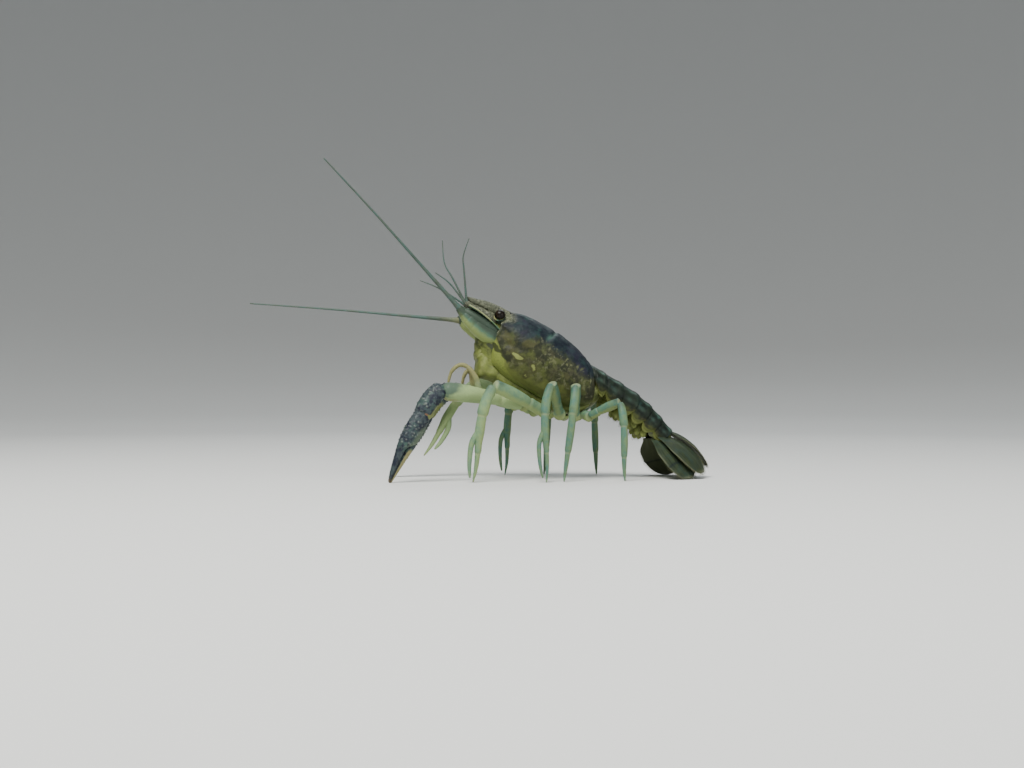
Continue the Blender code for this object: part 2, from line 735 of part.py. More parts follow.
def limb_segment(start, end, shares, half_widths, half_heights, flat, bow, sides):
    """Straight or slightly bowed limb segment, longer than its span at both ends."""
    points = []
    for share in shares:
        lift = bow * (4.0 * share * (1.0 - share))
        points.append(start.lerp(end, share) + lift)
    return limb(bmesh.new(), points, half_widths, half_heights, flat, sides)


def build_claw(side, label, knee, wrist, tip, facing):
    """One cheliped: arm, wrist, palm with its fixed finger, and the moving finger."""
    start = hip(0, side)
    arm = (knee - start).normalized()
    carpus = (wrist - knee).normalized()
    chela = (tip - wrist).normalized()
    up = Vector((0.0, 0.0, 1.0))

    shares = [share for share, _ in ARM_PROFILE]
    heights = [MERUS_RADIUS * size for _, size in ARM_PROFILE]
    widths = [value * 0.86 for value in heights]
    bm = limb_segment(start, knee, shares, widths, heights, SIDE, up * ARM_BOW, 12)
    hip_normal = (coxa_direction(0, side) + arm).normalized()
    trim(bm, start + hip_normal * (GAP / 2.0), -hip_normal)
    knee_normal = (arm + carpus).normalized()
    trim(bm, knee - knee_normal * (GAP / 2.0), knee_normal)
    finish_mesh("claw_arm_" + label, bm, LIMB)

    shares = [share for share, _ in WRIST_PROFILE]
    heights = [MERUS_RADIUS * size for _, size in WRIST_PROFILE]
    widths = [value * 0.92 for value in heights]
    bm = limb_segment(knee, wrist, shares, widths, heights, SIDE, up * WRIST_BOW, 12)
    trim(bm, knee + knee_normal * (GAP / 2.0), -knee_normal)
    wrist_normal = (carpus + chela).normalized()
    trim(bm, wrist - wrist_normal * (GAP / 2.0), wrist_normal)
    finish_mesh("claw_wrist_" + label, bm, CLAW)

    shares = [share for share, _, _ in CHELA_PROFILE]
    widths = [PALM_HALF_WIDTH * width for _, width, _ in CHELA_PROFILE]
    heights = [PALM_HALF_THICKNESS * depth for _, _, depth in CHELA_PROFILE]
    inward = (facing - chela * facing.dot(chela)).normalized()
    hinge = wrist.lerp(tip, CHELA_HINGE)
    hinge_normal = (chela - inward * 0.35).normalized()
    for name in ("claw_palm_", "claw_finger_"):
        bm = limb_segment(wrist, tip, shares, widths, heights, inward, inward * CHELA_BOW, 14)
        trim(bm, wrist + wrist_normal * (GAP / 2.0), -wrist_normal)
        trim(bm, Vector(), DOWN)
        if name == "claw_finger_":
            trim(bm, hinge, -hinge_normal)
            trim(bm, hinge, -inward)
            finish_mesh(name + label, bm, CLAW)
        else:
            palm = finish_mesh(name + label, bm, CLAW)
            cut_finger_space(palm, hinge, hinge_normal, inward)


def cut_finger_space(palm, hinge, hinge_normal, inward):
    """Takes the moving finger's space, and the gap round it, out of the palm."""
    third = hinge_normal.cross(inward).normalized()
    length = 20.0 * MM
    corner = hinge - hinge_normal * GAP - inward * GAP
    cutter = bmesh.new()
    along = (hinge_normal - inward * hinge_normal.dot(inward)).normalized() * length
    back = (inward - hinge_normal * inward.dot(hinge_normal)).normalized() * length
    corners = [corner, corner + along, corner + along + back, corner + back]
    rings = [[point + third * end for point in corners] for end in (-length, length)]
    skin(cutter, rings)
    space = finish_mesh(palm.name + "_cutter", cutter, palm.data.materials[0])
    space.hide_render = True
    space.display_type = "WIRE"
    cut = palm.modifiers.new("finger", "BOOLEAN")
    cut.operation = "DIFFERENCE"
    cut.object = space
    cut.solver = "EXACT"
    apply_modifiers(palm)
    bpy.data.objects.remove(space, do_unlink=True)
    keep_largest(palm)


def build_leg(number, side, label, knee, foot, pincer):
    """One walking leg in two nodes, above and below its knee."""
    start = hip(number, side)
    radius = LEG_RADIUS[number - 1]
    thigh = (knee - start).normalized()
    shin_start = (foot - knee).normalized()
    outward = Vector((0.0, side, 0.0))
    up = Vector((0.0, 0.0, 1.0))
    name = "leg_{}_{}_".format(number + 1, label)

    shares = [share for share, _ in THIGH_PROFILE]
    heights = [radius * size for _, size in THIGH_PROFILE]
    widths = [value * 0.78 for value in heights]
    bm = limb_segment(start, knee, shares, widths, heights, SIDE, up * LEG_BOW, 8)
    hip_normal = (coxa_direction(number, side) + thigh).normalized()
    trim(bm, start + hip_normal * (GAP / 2.0), -hip_normal)
    knee_normal = (thigh + shin_start).normalized()
    trim(bm, knee - knee_normal * (GAP / 2.0), knee_normal)
    finish_mesh(name + "upper", bm, LIMB)

    length = (foot - knee).length
    bulge = (outward + thigh * 0.5).normalized()
    if pincer:
        bulge = Vector((-1.2, side * 0.5, 0.0)).normalized()
    points = []
    for share, lift, _ in SHIN_PROFILE:
        points.append(knee.lerp(foot, share) + bulge * (lift * length))
    heights = [radius * size for _, _, size in SHIN_PROFILE]
    widths = [value * 0.86 for value in heights]
    bm = limb(bmesh.new(), points, widths, heights, SIDE, sides=8)
    trim(bm, knee + knee_normal * (GAP / 2.0), -knee_normal)
    trim(bm, Vector(), DOWN)
    if not pincer:
        finish_mesh(name + "lower", bm, LIMB)
        return
    base = knee.lerp(foot, 0.66) + bulge * (0.02 * length)
    end = knee.lerp(foot, 0.955) + pincer * MM
    bend = pincer.normalized() * MM
    path = [base, base.lerp(end, 0.3) + bend * 0.7, base.lerp(end, 0.7) + bend * 0.4, end]
    sizes = [radius * value for value in PINCER_RADII]
    finger = limb(bmesh.new(), path, sizes, sizes, SIDE, sides=6)
    join(name + "lower", [bm, finger], LIMB)


def leg_poses():
    """Knee, foot and pincer direction of each walking leg, by number and side."""
    fore = Vector((-1.0, 0.0, 0.0))
    return {
        (1, -1): (vec(2.9, -15.0, 24.4), vec(-2.5, -15.5, -0.2), fore),
        (2, -1): (vec(17.9, -14.0, 24.8), vec(15.6, -19.0, -0.2), fore),
        (3, -1): (vec(24.2, -13.8, 24.4), vec(20.4, -17.4, -0.2), None),
        (4, -1): (vec(36.0, -13.0, 20.0), vec(36.4, -16.4, -0.2), None),
        (1, 1): (vec(3.4, 14.8, 25.6), vec(-11.4, 12.6, 5.6), Vector((2.2, 0.0, 0.8))),
        (2, 1): (vec(14.3, 14.2, 24.4), vec(11.4, 18.0, -0.2), fore),
        (3, 1): (vec(23.8, 14.4, 23.8), vec(22.4, 19.0, -0.2), None),
        (4, 1): (vec(35.0, 13.4, 20.6), vec(36.6, 17.0, -0.2), None),
    }


def build_limbs():
    claws = {
        -1: (vec(-10.1, -11.0, 23.0), vec(-14.4, -12.0, 17.6), vec(-23.2, -13.0, -0.2)),
        1: (vec(-5.1, 10.0, 22.9), vec(-10.6, 11.0, 17.5), vec(-20.2, 14.0, -0.2)),
    }
    inward = {-1: Vector((1.0, 0.55, 0.0)), 1: Vector((1.0, -0.55, 0.0))}
    labels = {-1: "left", 1: "right"}
    poses = leg_poses()
    starts = {}
    for side in (-1, 1):
        knee, wrist, tip = claws[side]
        starts[(0, side)] = (knee - hip(0, side)).normalized()
        build_claw(side, labels[side], knee, wrist, tip, inward[side])
    for (number, side), (knee, foot, pincer) in poses.items():
        starts[(number, side)] = (knee - hip(number, side)).normalized()
        build_leg(number, side, labels[side], knee, foot, pincer)
    build_underside(starts)


clear_scene()
MODEL = bpy.data.collections.new("everglades_crayfish")
bpy.context.scene.collection.children.link(MODEL)
ROOT = bpy.data.objects.new("crayfish_root", None)
ROOT.location = ORIGIN_SHIFT
MODEL.objects.link(ROOT)

SHELL = make_material("shell", (0.035, 0.055, 0.075), 0.4)
UNDERSIDE = make_material("underside", (0.33, 0.36, 0.14), 0.5)
LIMB = make_material("limb", (0.2, 0.36, 0.32), 0.42)
CLAW = make_material("claw", (0.05, 0.07, 0.17), 0.42)
FEELER = make_material("feeler", (0.16, 0.25, 0.27), 0.45)
FAN = make_material("fan", (0.05, 0.09, 0.08), 0.4)
EYE = make_material("eye", (0.015, 0.01, 0.008), 0.12)

build_carapace()
build_tail_fan(build_pleon())
build_eyes()
build_antennae()
build_antennules()
build_maxillipeds()
build_limbs()
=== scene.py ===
"""The looks of a life-size everglades crayfish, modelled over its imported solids.

The modelling is in millimetres in the maker's frame: the animal faces -X, its left side
faces -Y and the floor is Z = 0. Each piece is scaled to metres and shifted when it is done.
"""

import random
from math import copysign, cos, exp, hypot, pi, radians, sin, sqrt, tan, tau

import bmesh
import bpy
from mathutils import Matrix, Vector, noise


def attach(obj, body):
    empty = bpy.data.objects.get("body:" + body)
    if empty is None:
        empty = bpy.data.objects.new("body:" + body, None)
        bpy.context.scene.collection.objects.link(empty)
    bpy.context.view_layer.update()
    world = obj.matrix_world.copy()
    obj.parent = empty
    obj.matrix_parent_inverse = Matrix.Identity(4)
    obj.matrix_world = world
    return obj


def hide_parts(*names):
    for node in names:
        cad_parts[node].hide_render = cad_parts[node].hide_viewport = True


MM = 0.001
ORIGIN_SHIFT = Vector((-2.85, 0.0, 0.0))
PITCH = radians(33.0)
REAR_TOP = Vector((30.8, 0.0, 29.9))
AFT = Vector((cos(PITCH), 0.0, -sin(PITCH)))
DORSAL = Vector((sin(PITCH), 0.0, cos(PITCH)))
SIDE = Vector((0.0, 1.0, 0.0))
UP = Vector((0.0, 0.0, 1.0))
SIDES = ((-1, "left"), (1, "right"))
WELD = 0.0001
MIRROR_SEAM = 0.001

# Sockets of the Mix node when it mixes colours
MIX_SHARE = 0
MIX_UNDER = 6
MIX_OVER = 7
MIX_RESULT = 2

# Carapace stations from the rear edge forward: how far forward, then the height of the
# back, the half width, the height of the widest line, the lower margin's height and half
# width, and how far the section leans aft per millimetre of depth
CARAPACE = (
    (0.0, 0.0, 6.7, -4.4, -8.0, 4.2, tan(PITCH)),
    (1.3, 0.7, 7.4, -5.2, -9.9, 4.5, 0.58),
    (4.2, 1.55, 8.1, -6.1, -12.5, 4.7, 0.42),
    (8.0, 2.05, 8.4, -6.9, -14.7, 4.8, 0.18),
    (11.9, 2.2, 8.3, -7.0, -15.5, 4.8, -0.26),
    (13.0, 1.98, 8.1, -7.0, -15.4, 4.7, -0.4),
    (14.1, 2.05, 8.1, -6.6, -15.2, 4.7, -0.38),
    (17.5, 1.85, 7.6, -6.2, -14.7, 4.5, -0.28),
    (21.0, 1.35, 6.7, -5.8, -14.0, 4.2, -0.15),
    (24.0, 0.55, 5.6, -5.5, -13.2, 3.8, -0.05),
    (25.5, 0.2, 5.0, -5.3, -12.6, 3.4, 0.0),
)
ROSTRUM = (
    (25.9, 0.1, 2.6, -1.6, -3.3, 1.5, 0.0),
    (28.4, -0.15, 2.2, -1.8, -3.2, 1.3, 0.0),
    (32.0, -0.9, 1.9, -2.3, -3.5, 1.1, 0.0),
    (34.3, -1.9, 1.45, -2.9, -3.8, 0.8, 0.0),
    (36.8, -3.0, 0.3, -3.3, -3.6, 0.15, 0.0),
)
GROOVE_AT = 13.0
UPPER_ARC = 0.60
LOWER_MARGIN = 0.86

# Pleon segments: length, pitch, and at the rear face the pitch of its normal, the half
# width, the depth with the pleura and the share of that depth at which the belly lies
PLEON = (
    (3.7, 31.5, 9.0, 6.5, 7.4, 0.66),
    (5.4, 31.0, 19.0, 6.6, 7.6, 0.66),
    (5.2, 33.0, 28.0, 6.4, 7.4, 0.66),
    (4.7, 40.0, 37.0, 6.0, 7.0, 0.66),
    (4.4, 47.0, 45.0, 5.6, 6.5, 0.66),
    (4.6, 50.0, 50.0, 5.0, 5.6, 0.94),
)
PLEON_FRONT = (6.4, 7.2, 0.66)

TELSON_LENGTH = 13.4
BLADE_ROOT_SHARE = 0.46
# How far below the last ring's top and across the root lies, the reach to the tip, the
# direction across, half width and places of the rays
UROPODS = {
    "inner": (3.6, -3.6, (9.3, -5.4, -9.0), (0.32, 0.8, 0.34), 4.9, (0.0,)),
    "outer": (4.8, -2.9, (6.2, -8.0, -9.7), (0.86, 0.46, -0.02), 5.2, (0.0, -0.5)),
}

# The five pairs of hips from the claws back, their coxae, and the radii of the limbs
HIP_X = (11.8, 17.0, 21.3, 25.4, 29.3)
HIP_Z = (19.4, 17.6, 16.9, 16.4, 16.3)
HIP_Y = 7.2
COXA_SWEEP = (-0.55, -0.45, -0.25, 0.0, 0.3)
COXA_RADIUS = (1.75, 1.55, 1.5, 1.45, 1.35)
LEG_RADIUS = (1.62, 1.36, 1.28, 1.2)
MERUS_RADIUS = 2.35
PALM_HALF_WIDTH = 2.6
PALM_HALF_THICKNESS = 2.0
EYE_RADIUS = 1.42
HAIR_SUNK = 0.05
SPINE_TIP_SHARE = 0.06


def body_point(forward, across, height):
    """A point by its distance forward of the carapace's rear edge, across and above the back."""
    return REAR_TOP - AFT * forward + SIDE * across + DORSAL * height


def body_place(point):
    """How far forward of the carapace's rear edge and how high above the back a point lies."""
    offset = point - REAR_TOP
    return -offset.dot(AFT), offset.dot(DORSAL)


def ease(low, high, x):
    """0 up to low and 1 from high on, smoothly between."""
    t = min(max((x - low) / (high - low), 0.0), 1.0)
    return t * t * (3.0 - 2.0 * t)


def fade(low, high, x):
    return 1.0 - ease(low, high, x)


def ridge(distance, width):
    """Height of a rounded ridge, 1 on its crest."""
    return exp(-((distance / width) ** 2))


def curve(stops, x, column=1):
    """Value at x of a smooth line through rows of (x, value, ...)."""
    if x <= stops[0][0]:
        return stops[0][column]
    if x >= stops[-1][0]:
        return stops[-1][column]
    i = 0
    while stops[i + 1][0] < x:
        i += 1
    here = stops[i]
    ahead = stops[i + 1]
    before = stops[max(i - 1, 0)]
    after = stops[min(i + 2, len(stops) - 1)]
    span = ahead[0] - here[0]
    slope_here = (ahead[column] - before[column]) / (ahead[0] - before[0]) * span
    slope_ahead = (after[column] - here[column]) / (after[0] - here[0]) * span
    t = (x - here[0]) / span
    t2 = t * t
    t3 = t2 * t
    return (
        here[column] * (2.0 * t3 - 3.0 * t2 + 1.0)
        + slope_here * (t3 - 2.0 * t2 + t)
        + ahead[column] * (3.0 * t2 - 2.0 * t3)
        + slope_ahead * (t3 - t2)
    )


def route(knots):
    """A function of 0 to 1 that runs smoothly through the knots."""
    last = len(knots) - 1

    def at(u):
        place = min(max(u, 0.0), 1.0) * last
        i = min(int(place), last - 1)
        t = place - i
        before = knots[max(i - 1, 0)]
        start = knots[i]
        end = knots[i + 1]
        after = knots[min(i + 2, last)]
        blend = (
            start * 2.0
            + (end - before) * t
            + (before * 2.0 - start * 5.0 + end * 4.0 - after) * t * t
            + (start * 3.0 - before - end * 3.0 + after) * t * t * t
        )
        return blend * 0.5

    return at


def square_to(axis, vector):
    """The unit direction of a vector once its share along the unit axis is taken away."""
    return (vector - axis * vector.dot(axis)).normalized()


def granules(point, cell, reach):
    """Rounded grains scattered one to a cell: 1 on a grain's top, 0 between grains."""
    distance = noise.voronoi(point / cell)[0][0]
    return ease(reach, reach * 0.25, distance)


def underneath(offset):
    """0 on top of a limb and 1 under it, for a skin point this far from the limb's middle."""
    return 0.5 - 0.5 * offset.z / max(offset.length, 0.001)


def squared(turn, power):
    """Cosine and sine of a turn, swelled towards a square by a power below one."""
    return [copysign(abs(x) ** power, x) for x in (cos(turn), sin(turn))]


def round_ends(u, start, end):
    """Closes a tube's ends with rounded caps over the given shares of its length."""
    near = min(1.0, u / start)
    far = min(1.0, (1.0 - u) / end)
    return sqrt(max(0.0, 1.0 - (1.0 - near) ** 2)) * sqrt(max(0.0, 1.0 - (1.0 - far) ** 2))


def swelling(stops, radius=1.0, caps=None, width=1.0, depth=1.0):
    """A tube's half width and half height along its length, from its profile."""

    def size_at(u):
        size = radius * curve(stops, u)
        if caps:
            size *= round_ends(u, *caps)
        return size * width, size * depth

    return size_at


def put_in_scene(name, data):
    obj = bpy.data.objects.new(name, data)
    bpy.context.scene.collection.objects.link(obj)
    return obj


class Form:
    """A mesh being modelled, with the marks that its finish reads.

    Each finish gives the five marks its own meaning, which its first lines name.
    """

    MARKS = ("side", "front", "knob", "seam", "pale")

    def __init__(self):
        self.bm = bmesh.new()
        self.u = self.bm.verts.layers.float.new("lay_u")
        self.v = self.bm.verts.layers.float.new("lay_v")
        self.marks = [self.bm.verts.layers.float.new(name) for name in self.MARKS]

    def drape(self, rows, columns, row_at):
        """Lays a grid on a surface: row_at(u) gives the function that places v."""
        made = bmesh.ops.create_grid(
            self.bm, x_segments=columns, y_segments=rows, size=0.5
        )["verts"]
        placers = {}
        for vert in made:
            row = round((vert.co.y + 0.5) * rows)
            if row not in placers:
                placers[row] = row_at(row / rows)
            vert[self.u] = row / rows
            vert[self.v] = vert.co.x + 0.5
            vert.co = placers[row](vert.co.x + 0.5)
        bmesh.ops.remove_doubles(self.bm, verts=made, dist=WELD)
        return [vert for vert in made if vert.is_valid]

    def tube(self, path, size_at, flat, rows, sides, axis=None):
        """A closed body along path(u) with half sizes size_at(u), its width along flat.

        Its sections stand square to the axis where one is given, or else to the path.
        """
        step = 0.5 / rows
        axis = axis or path

        def row_at(u):
            centre = path(u)
            ahead = (axis(min(u + step, 1.0)) - axis(max(u - step, 0.0))).normalized()
            across = square_to(ahead, flat)
            up = ahead.cross(across)
            half_width, half_height = size_at(u)

            def at(v):
                turn = tau * v
                side = across * (half_width * cos(turn))
                return centre + side + up * (half_height * sin(turn))

            return at

        return self.drape(rows, sides, row_at)

    def mirror(self):
        """Adds the other half, across Y = 0."""
        geometry = self.bm.verts[:] + self.bm.edges[:] + self.bm.faces[:]
        bmesh.ops.mirror(self.bm, geom=geometry, axis="Y", merge_dist=MIRROR_SEAM)
        for vert in self.bm.verts:
            if abs(vert.co.y) < MIRROR_SEAM:
                vert.co.y = 0.0
        bmesh.ops.remove_doubles(self.bm, verts=self.bm.verts, dist=WELD)
        bmesh.ops.recalc_face_normals(self.bm, faces=self.bm.faces)

    def emboss(self, verts, relief):
        """Moves vertices along their normals by relief(u, v, point), and stores its marks."""
        faces = {face for vert in verts for face in vert.link_faces}
        bmesh.ops.recalc_face_normals(self.bm, faces=list(faces))
        self.bm.normal_update()
        moves = []
        for vert in verts:
            height, *values = relief(vert[self.u], vert[self.v], vert.co)
            for mark, value in zip(self.marks, values):
                vert[mark] = value
            moves.append((vert, vert.normal * height))
        for vert, move in moves:
            vert.co += move

    def limb(self, relief, *shape):
        """A tube of this shape, embossed."""
        self.emboss(self.tube(*shape), relief)

    def ball(self, centre, sizes, segments=24, rings=16, marks=()):
        """An egg-shaped body with half sizes along AFT, across and DORSAL, and its marks."""
        made = bmesh.ops.create_uvsphere(
            self.bm, u_segments=segments, v_segments=rings, radius=1.0
        )["verts"]
        for vert in made:
            offset = AFT * (vert.co.x * sizes[0]) + SIDE * (vert.co.y * sizes[1])
            vert.co = centre + offset + DORSAL * (vert.co.z * sizes[2])
            for mark, value in zip(self.marks, marks):
                vert[mark] = value
        return made

    def spine(self, root, direction, length, radius, sunk=0.3, sides=8):
        """A pointed cone that stands out along the direction."""
        direction = direction.normalized()
        turn = direction.to_track_quat("Z", "Y").to_matrix().to_4x4()
        middle = root + direction * (length * 0.5 - sunk)
        made = bmesh.ops.create_cone(
            self.bm,
            cap_ends=True,
            segments=sides,
            radius1=radius,
            radius2=radius * SPINE_TIP_SHARE,
            depth=length,
            matrix=Matrix.Translation(middle) @ turn,
        )["verts"]
        for vert in made:
            vert[self.marks[2]] = 1.0
        return made

    def hair(self, root, direction, length, width):
        """A single stiff hair in the second finish of the piece."""
        made = self.spine(root, direction, length, width, HAIR_SUNK, sides=3)
        for face in {face for vert in made for face in vert.link_faces}:
            face.material_index = 1

    def piece(self, name, finish, slot, *replaced):
        """Turns the form into an object that rides on the body, with its finish and the hairs'."""
        for vert in self.bm.verts:
            if vert.co.z < 0.0:
                vert.co.z = 0.0
        place = Matrix.Scale(MM, 4) @ Matrix.Translation(ORIGIN_SHIFT)
        bmesh.ops.transform(self.bm, matrix=place, verts=self.bm.verts)
        bmesh.ops.recalc_face_normals(self.bm, faces=self.bm.faces)
        mesh = bpy.data.meshes.new(name)
        self.bm.to_mesh(mesh)
        self.bm.free()
        mesh.materials.append(finish)
        mesh.materials.append(HAIR)
        mesh.shade_smooth()
        obj = put_in_scene(name, mesh)
        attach(obj, "root")
        if replaced:
            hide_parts(*replaced)


class Number:
    """A number in a finish: each operator adds the Math node that works it out."""

    def __init__(self, finish, socket):
        self.finish = finish
        self.socket = socket

    def worked(self, operation, other=0.0, reflected=False):
        pair = (other, self) if reflected else (self, other)
        node = self.finish.node("ShaderNodeMath", {"operation": operation}, dict(enumerate(pair)))
        return Number(self.finish, node.outputs[0])

    def __add__(self, other):
        return self.worked("ADD", other)

    def __sub__(self, other):
        return self.worked("SUBTRACT", other)

    def __rsub__(self, other):
        return self.worked("SUBTRACT", other, reflected=True)

    def __mul__(self, other):
        return self.worked("MULTIPLY", other)

    __radd__ = __add__
    __rmul__ = __mul__

    def wave(self):
        return self.worked("SINE")

    def steps(self, low, high):
        """0 below low and 1 above high, smoothly."""
        node = self.finish.node(
            "ShaderNodeMapRange",
            {"interpolation_type": "SMOOTHSTEP"},
            {"Value": self, "From Min": low, "From Max": high},
        )
        return Number(self.finish, node.outputs[0])


class Finish:
    """A material being mixed: nodes, numbers and colours of one Principled shader."""

    def __init__(self, name, **constants):
        self.material = bpy.data.materials.new(name)
        self.material.use_nodes = True
        self.nodes = self.material.node_tree.nodes
        self.links = self.material.node_tree.links
        self.shader = self.nodes["Principled BSDF"]
        for socket, value in constants.items():
            self.shader.inputs[socket.replace("_", " ")].default_value = value
        where = self.node("ShaderNodeTexCoord").outputs["Object"]
        scaled = self.node(
            "ShaderNodeVectorMath", {"operation": "SCALE"}, {0: where, "Scale": 1.0 / MM}
        )
        self.place = scaled.outputs[0]

    def node(self, kind, settings=None, inputs=None):
        node = self.nodes.new(kind)
        for key, value in (settings or {}).items():
            setattr(node, key, value)
        for key, value in (inputs or {}).items():
            self.feed(node.inputs[key], value)
        return node

    def feed(self, socket, value):
        if isinstance(value, Number):
            value = value.socket
        if isinstance(value, bpy.types.NodeSocket):
            self.links.new(value, socket)
        elif isinstance(value, tuple) and len(value) == 3 and socket.type == "RGBA":
            socket.default_value = (*value, 1.0)
        else:
            socket.default_value = value

    def marks(self, names):
        """The marks that a form stored on its vertices, in the order of their names."""
        kind = "ShaderNodeAttribute"
        nodes = [self.node(kind, {"attribute_name": name}) for name in names.split()]
        return [Number(self, node.outputs["Fac"]) for node in nodes]

    def clouds(self, size, detail=3.0, rough=0.55):
        """Soft noise of 0 to 1 whose blotches are about size millimetres across."""
        inputs = {"Vector": self.place, "Scale": 1.0 / size, "Detail": detail, "Roughness": rough}
        return Number(self, self.node("ShaderNodeTexNoise", {}, inputs).outputs[0])

    def cells(self, size):
        """Distance to the nearest of points scattered about size millimetres apart."""
        inputs = {"Vector": self.place, "Scale": 1.0 / size}
        return Number(self, self.node("ShaderNodeTexVoronoi", {}, inputs).outputs["Distance"])

    def mix(self, colour, *layers):
        """The colour with others laid over it, each by its share."""
        for over, share in layers:
            inputs = {MIX_SHARE: share, MIX_UNDER: colour, MIX_OVER: over}
            node = self.node("ShaderNodeMix", {"data_type": "RGBA"}, inputs)
            colour = node.outputs[MIX_RESULT]
        return colour

    def done(self, colour, roughness, height=None, depth=0.05, strength=0.6):
        """Plugs the colour, roughness and relief in millimetres into the shader."""
        self.feed(self.shader.inputs["Base Color"], colour)
        self.feed(self.shader.inputs["Roughness"], roughness)
        if height is not None:
            bump = self.node(
                "ShaderNodeBump",
                {},
                {"Strength": strength, "Distance": depth * MM, "Height": height},
            )
            self.feed(self.shader.inputs["Normal"], bump.outputs[0])
        return self.material


NAVY = (0.005, 0.008, 0.013)
SLATE = (0.011, 0.019, 0.022)
# Teal of the back: partly the shell's own colour, partly a painted sheen
TEAL_AND_SHEEN = (0.014, 0.038, 0.034)
PLEON_DARK = (0.004, 0.007, 0.005)
PLEON_GREEN = (0.010, 0.017, 0.010)
VIOLET = (0.017, 0.015, 0.028)
DARK_OLIVE = (0.014, 0.017, 0.007)
OLIVE_BROWN = (0.036, 0.036, 0.018)
OLIVE_GREEN = (0.050, 0.062, 0.014)
YELLOW_GREEN = (0.140, 0.170, 0.036)
CREAM = (0.200, 0.215, 0.085)
PALE_TEAL = (0.070, 0.140, 0.108)
LEG_TEAL = (0.060, 0.142, 0.108)
LEG_GREEN = (0.112, 0.198, 0.106)
LEG_YELLOW = (0.210, 0.262, 0.088)
LEG_DUSK = (0.026, 0.052, 0.055)
JOINT_PALE = (0.270, 0.300, 0.150)
STEM_GREY = (0.032, 0.048, 0.034)
MERUS_GREEN = (0.240, 0.330, 0.150)
BEIGE = (0.185, 0.180, 0.080)
CLAW_DARK = (0.008, 0.011, 0.022)
CLAW_BLUE = (0.034, 0.048, 0.052)
CLAW_TEAL = (0.036, 0.078, 0.060)
CLAW_PALE = (0.130, 0.150, 0.130)
CLAW_INNER = (0.080, 0.110, 0.072)
CLAW_EDGE = (0.200, 0.185, 0.080)
JOINT_ORANGE = (0.150, 0.070, 0.038)
FAN_DARK = (0.013, 0.020, 0.012)
FAN_OLIVE = (0.032, 0.040, 0.015)
FAN_RAY = (0.036, 0.052, 0.030)
FAN_RIM = (0.090, 0.098, 0.058)
FEELER_TEAL = (0.050, 0.095, 0.082)
HAIR_TAN = (0.110, 0.110, 0.062)
# Olive green of the lower flank, lighter than its own colour: painted light against the shade
# there
FLANK_GREEN_WITH_PAINTED_LIGHT = (0.105, 0.122, 0.030)
LARGE_SPECK = (0.085, 0.092, 0.040)
SMALL_SPECK = (0.115, 0.118, 0.070)
OLIVE_PATCH = (0.040, 0.041, 0.014)
YELLOW_PATCH = (0.170, 0.195, 0.058)
SNOUT_DARK = (0.050, 0.056, 0.038)
SNOUT_PALE = (0.170, 0.178, 0.125)
FLESH_PALE = (0.185, 0.210, 0.062)
FLESH_DARK = (0.024, 0.030, 0.020)
CLAW_YELLOW = (0.150, 0.170, 0.055)
CLAW_TIP = (0.150, 0.110, 0.055)
FAN_TEAL = (0.018, 0.034, 0.028)
# Paler underside of the blades: partly their own colour, partly painted light on the side in shade
FAN_UNDER_AND_PAINTED_LIGHT = (0.062, 0.072, 0.036)
FEELER_GREY = (0.062, 0.085, 0.066)
EYE_BLACK = (0.004, 0.003, 0.002)
EYE_BROWN = (0.014, 0.008, 0.004)
JOINT_YELLOW = (0.240, 0.150, 0.060)


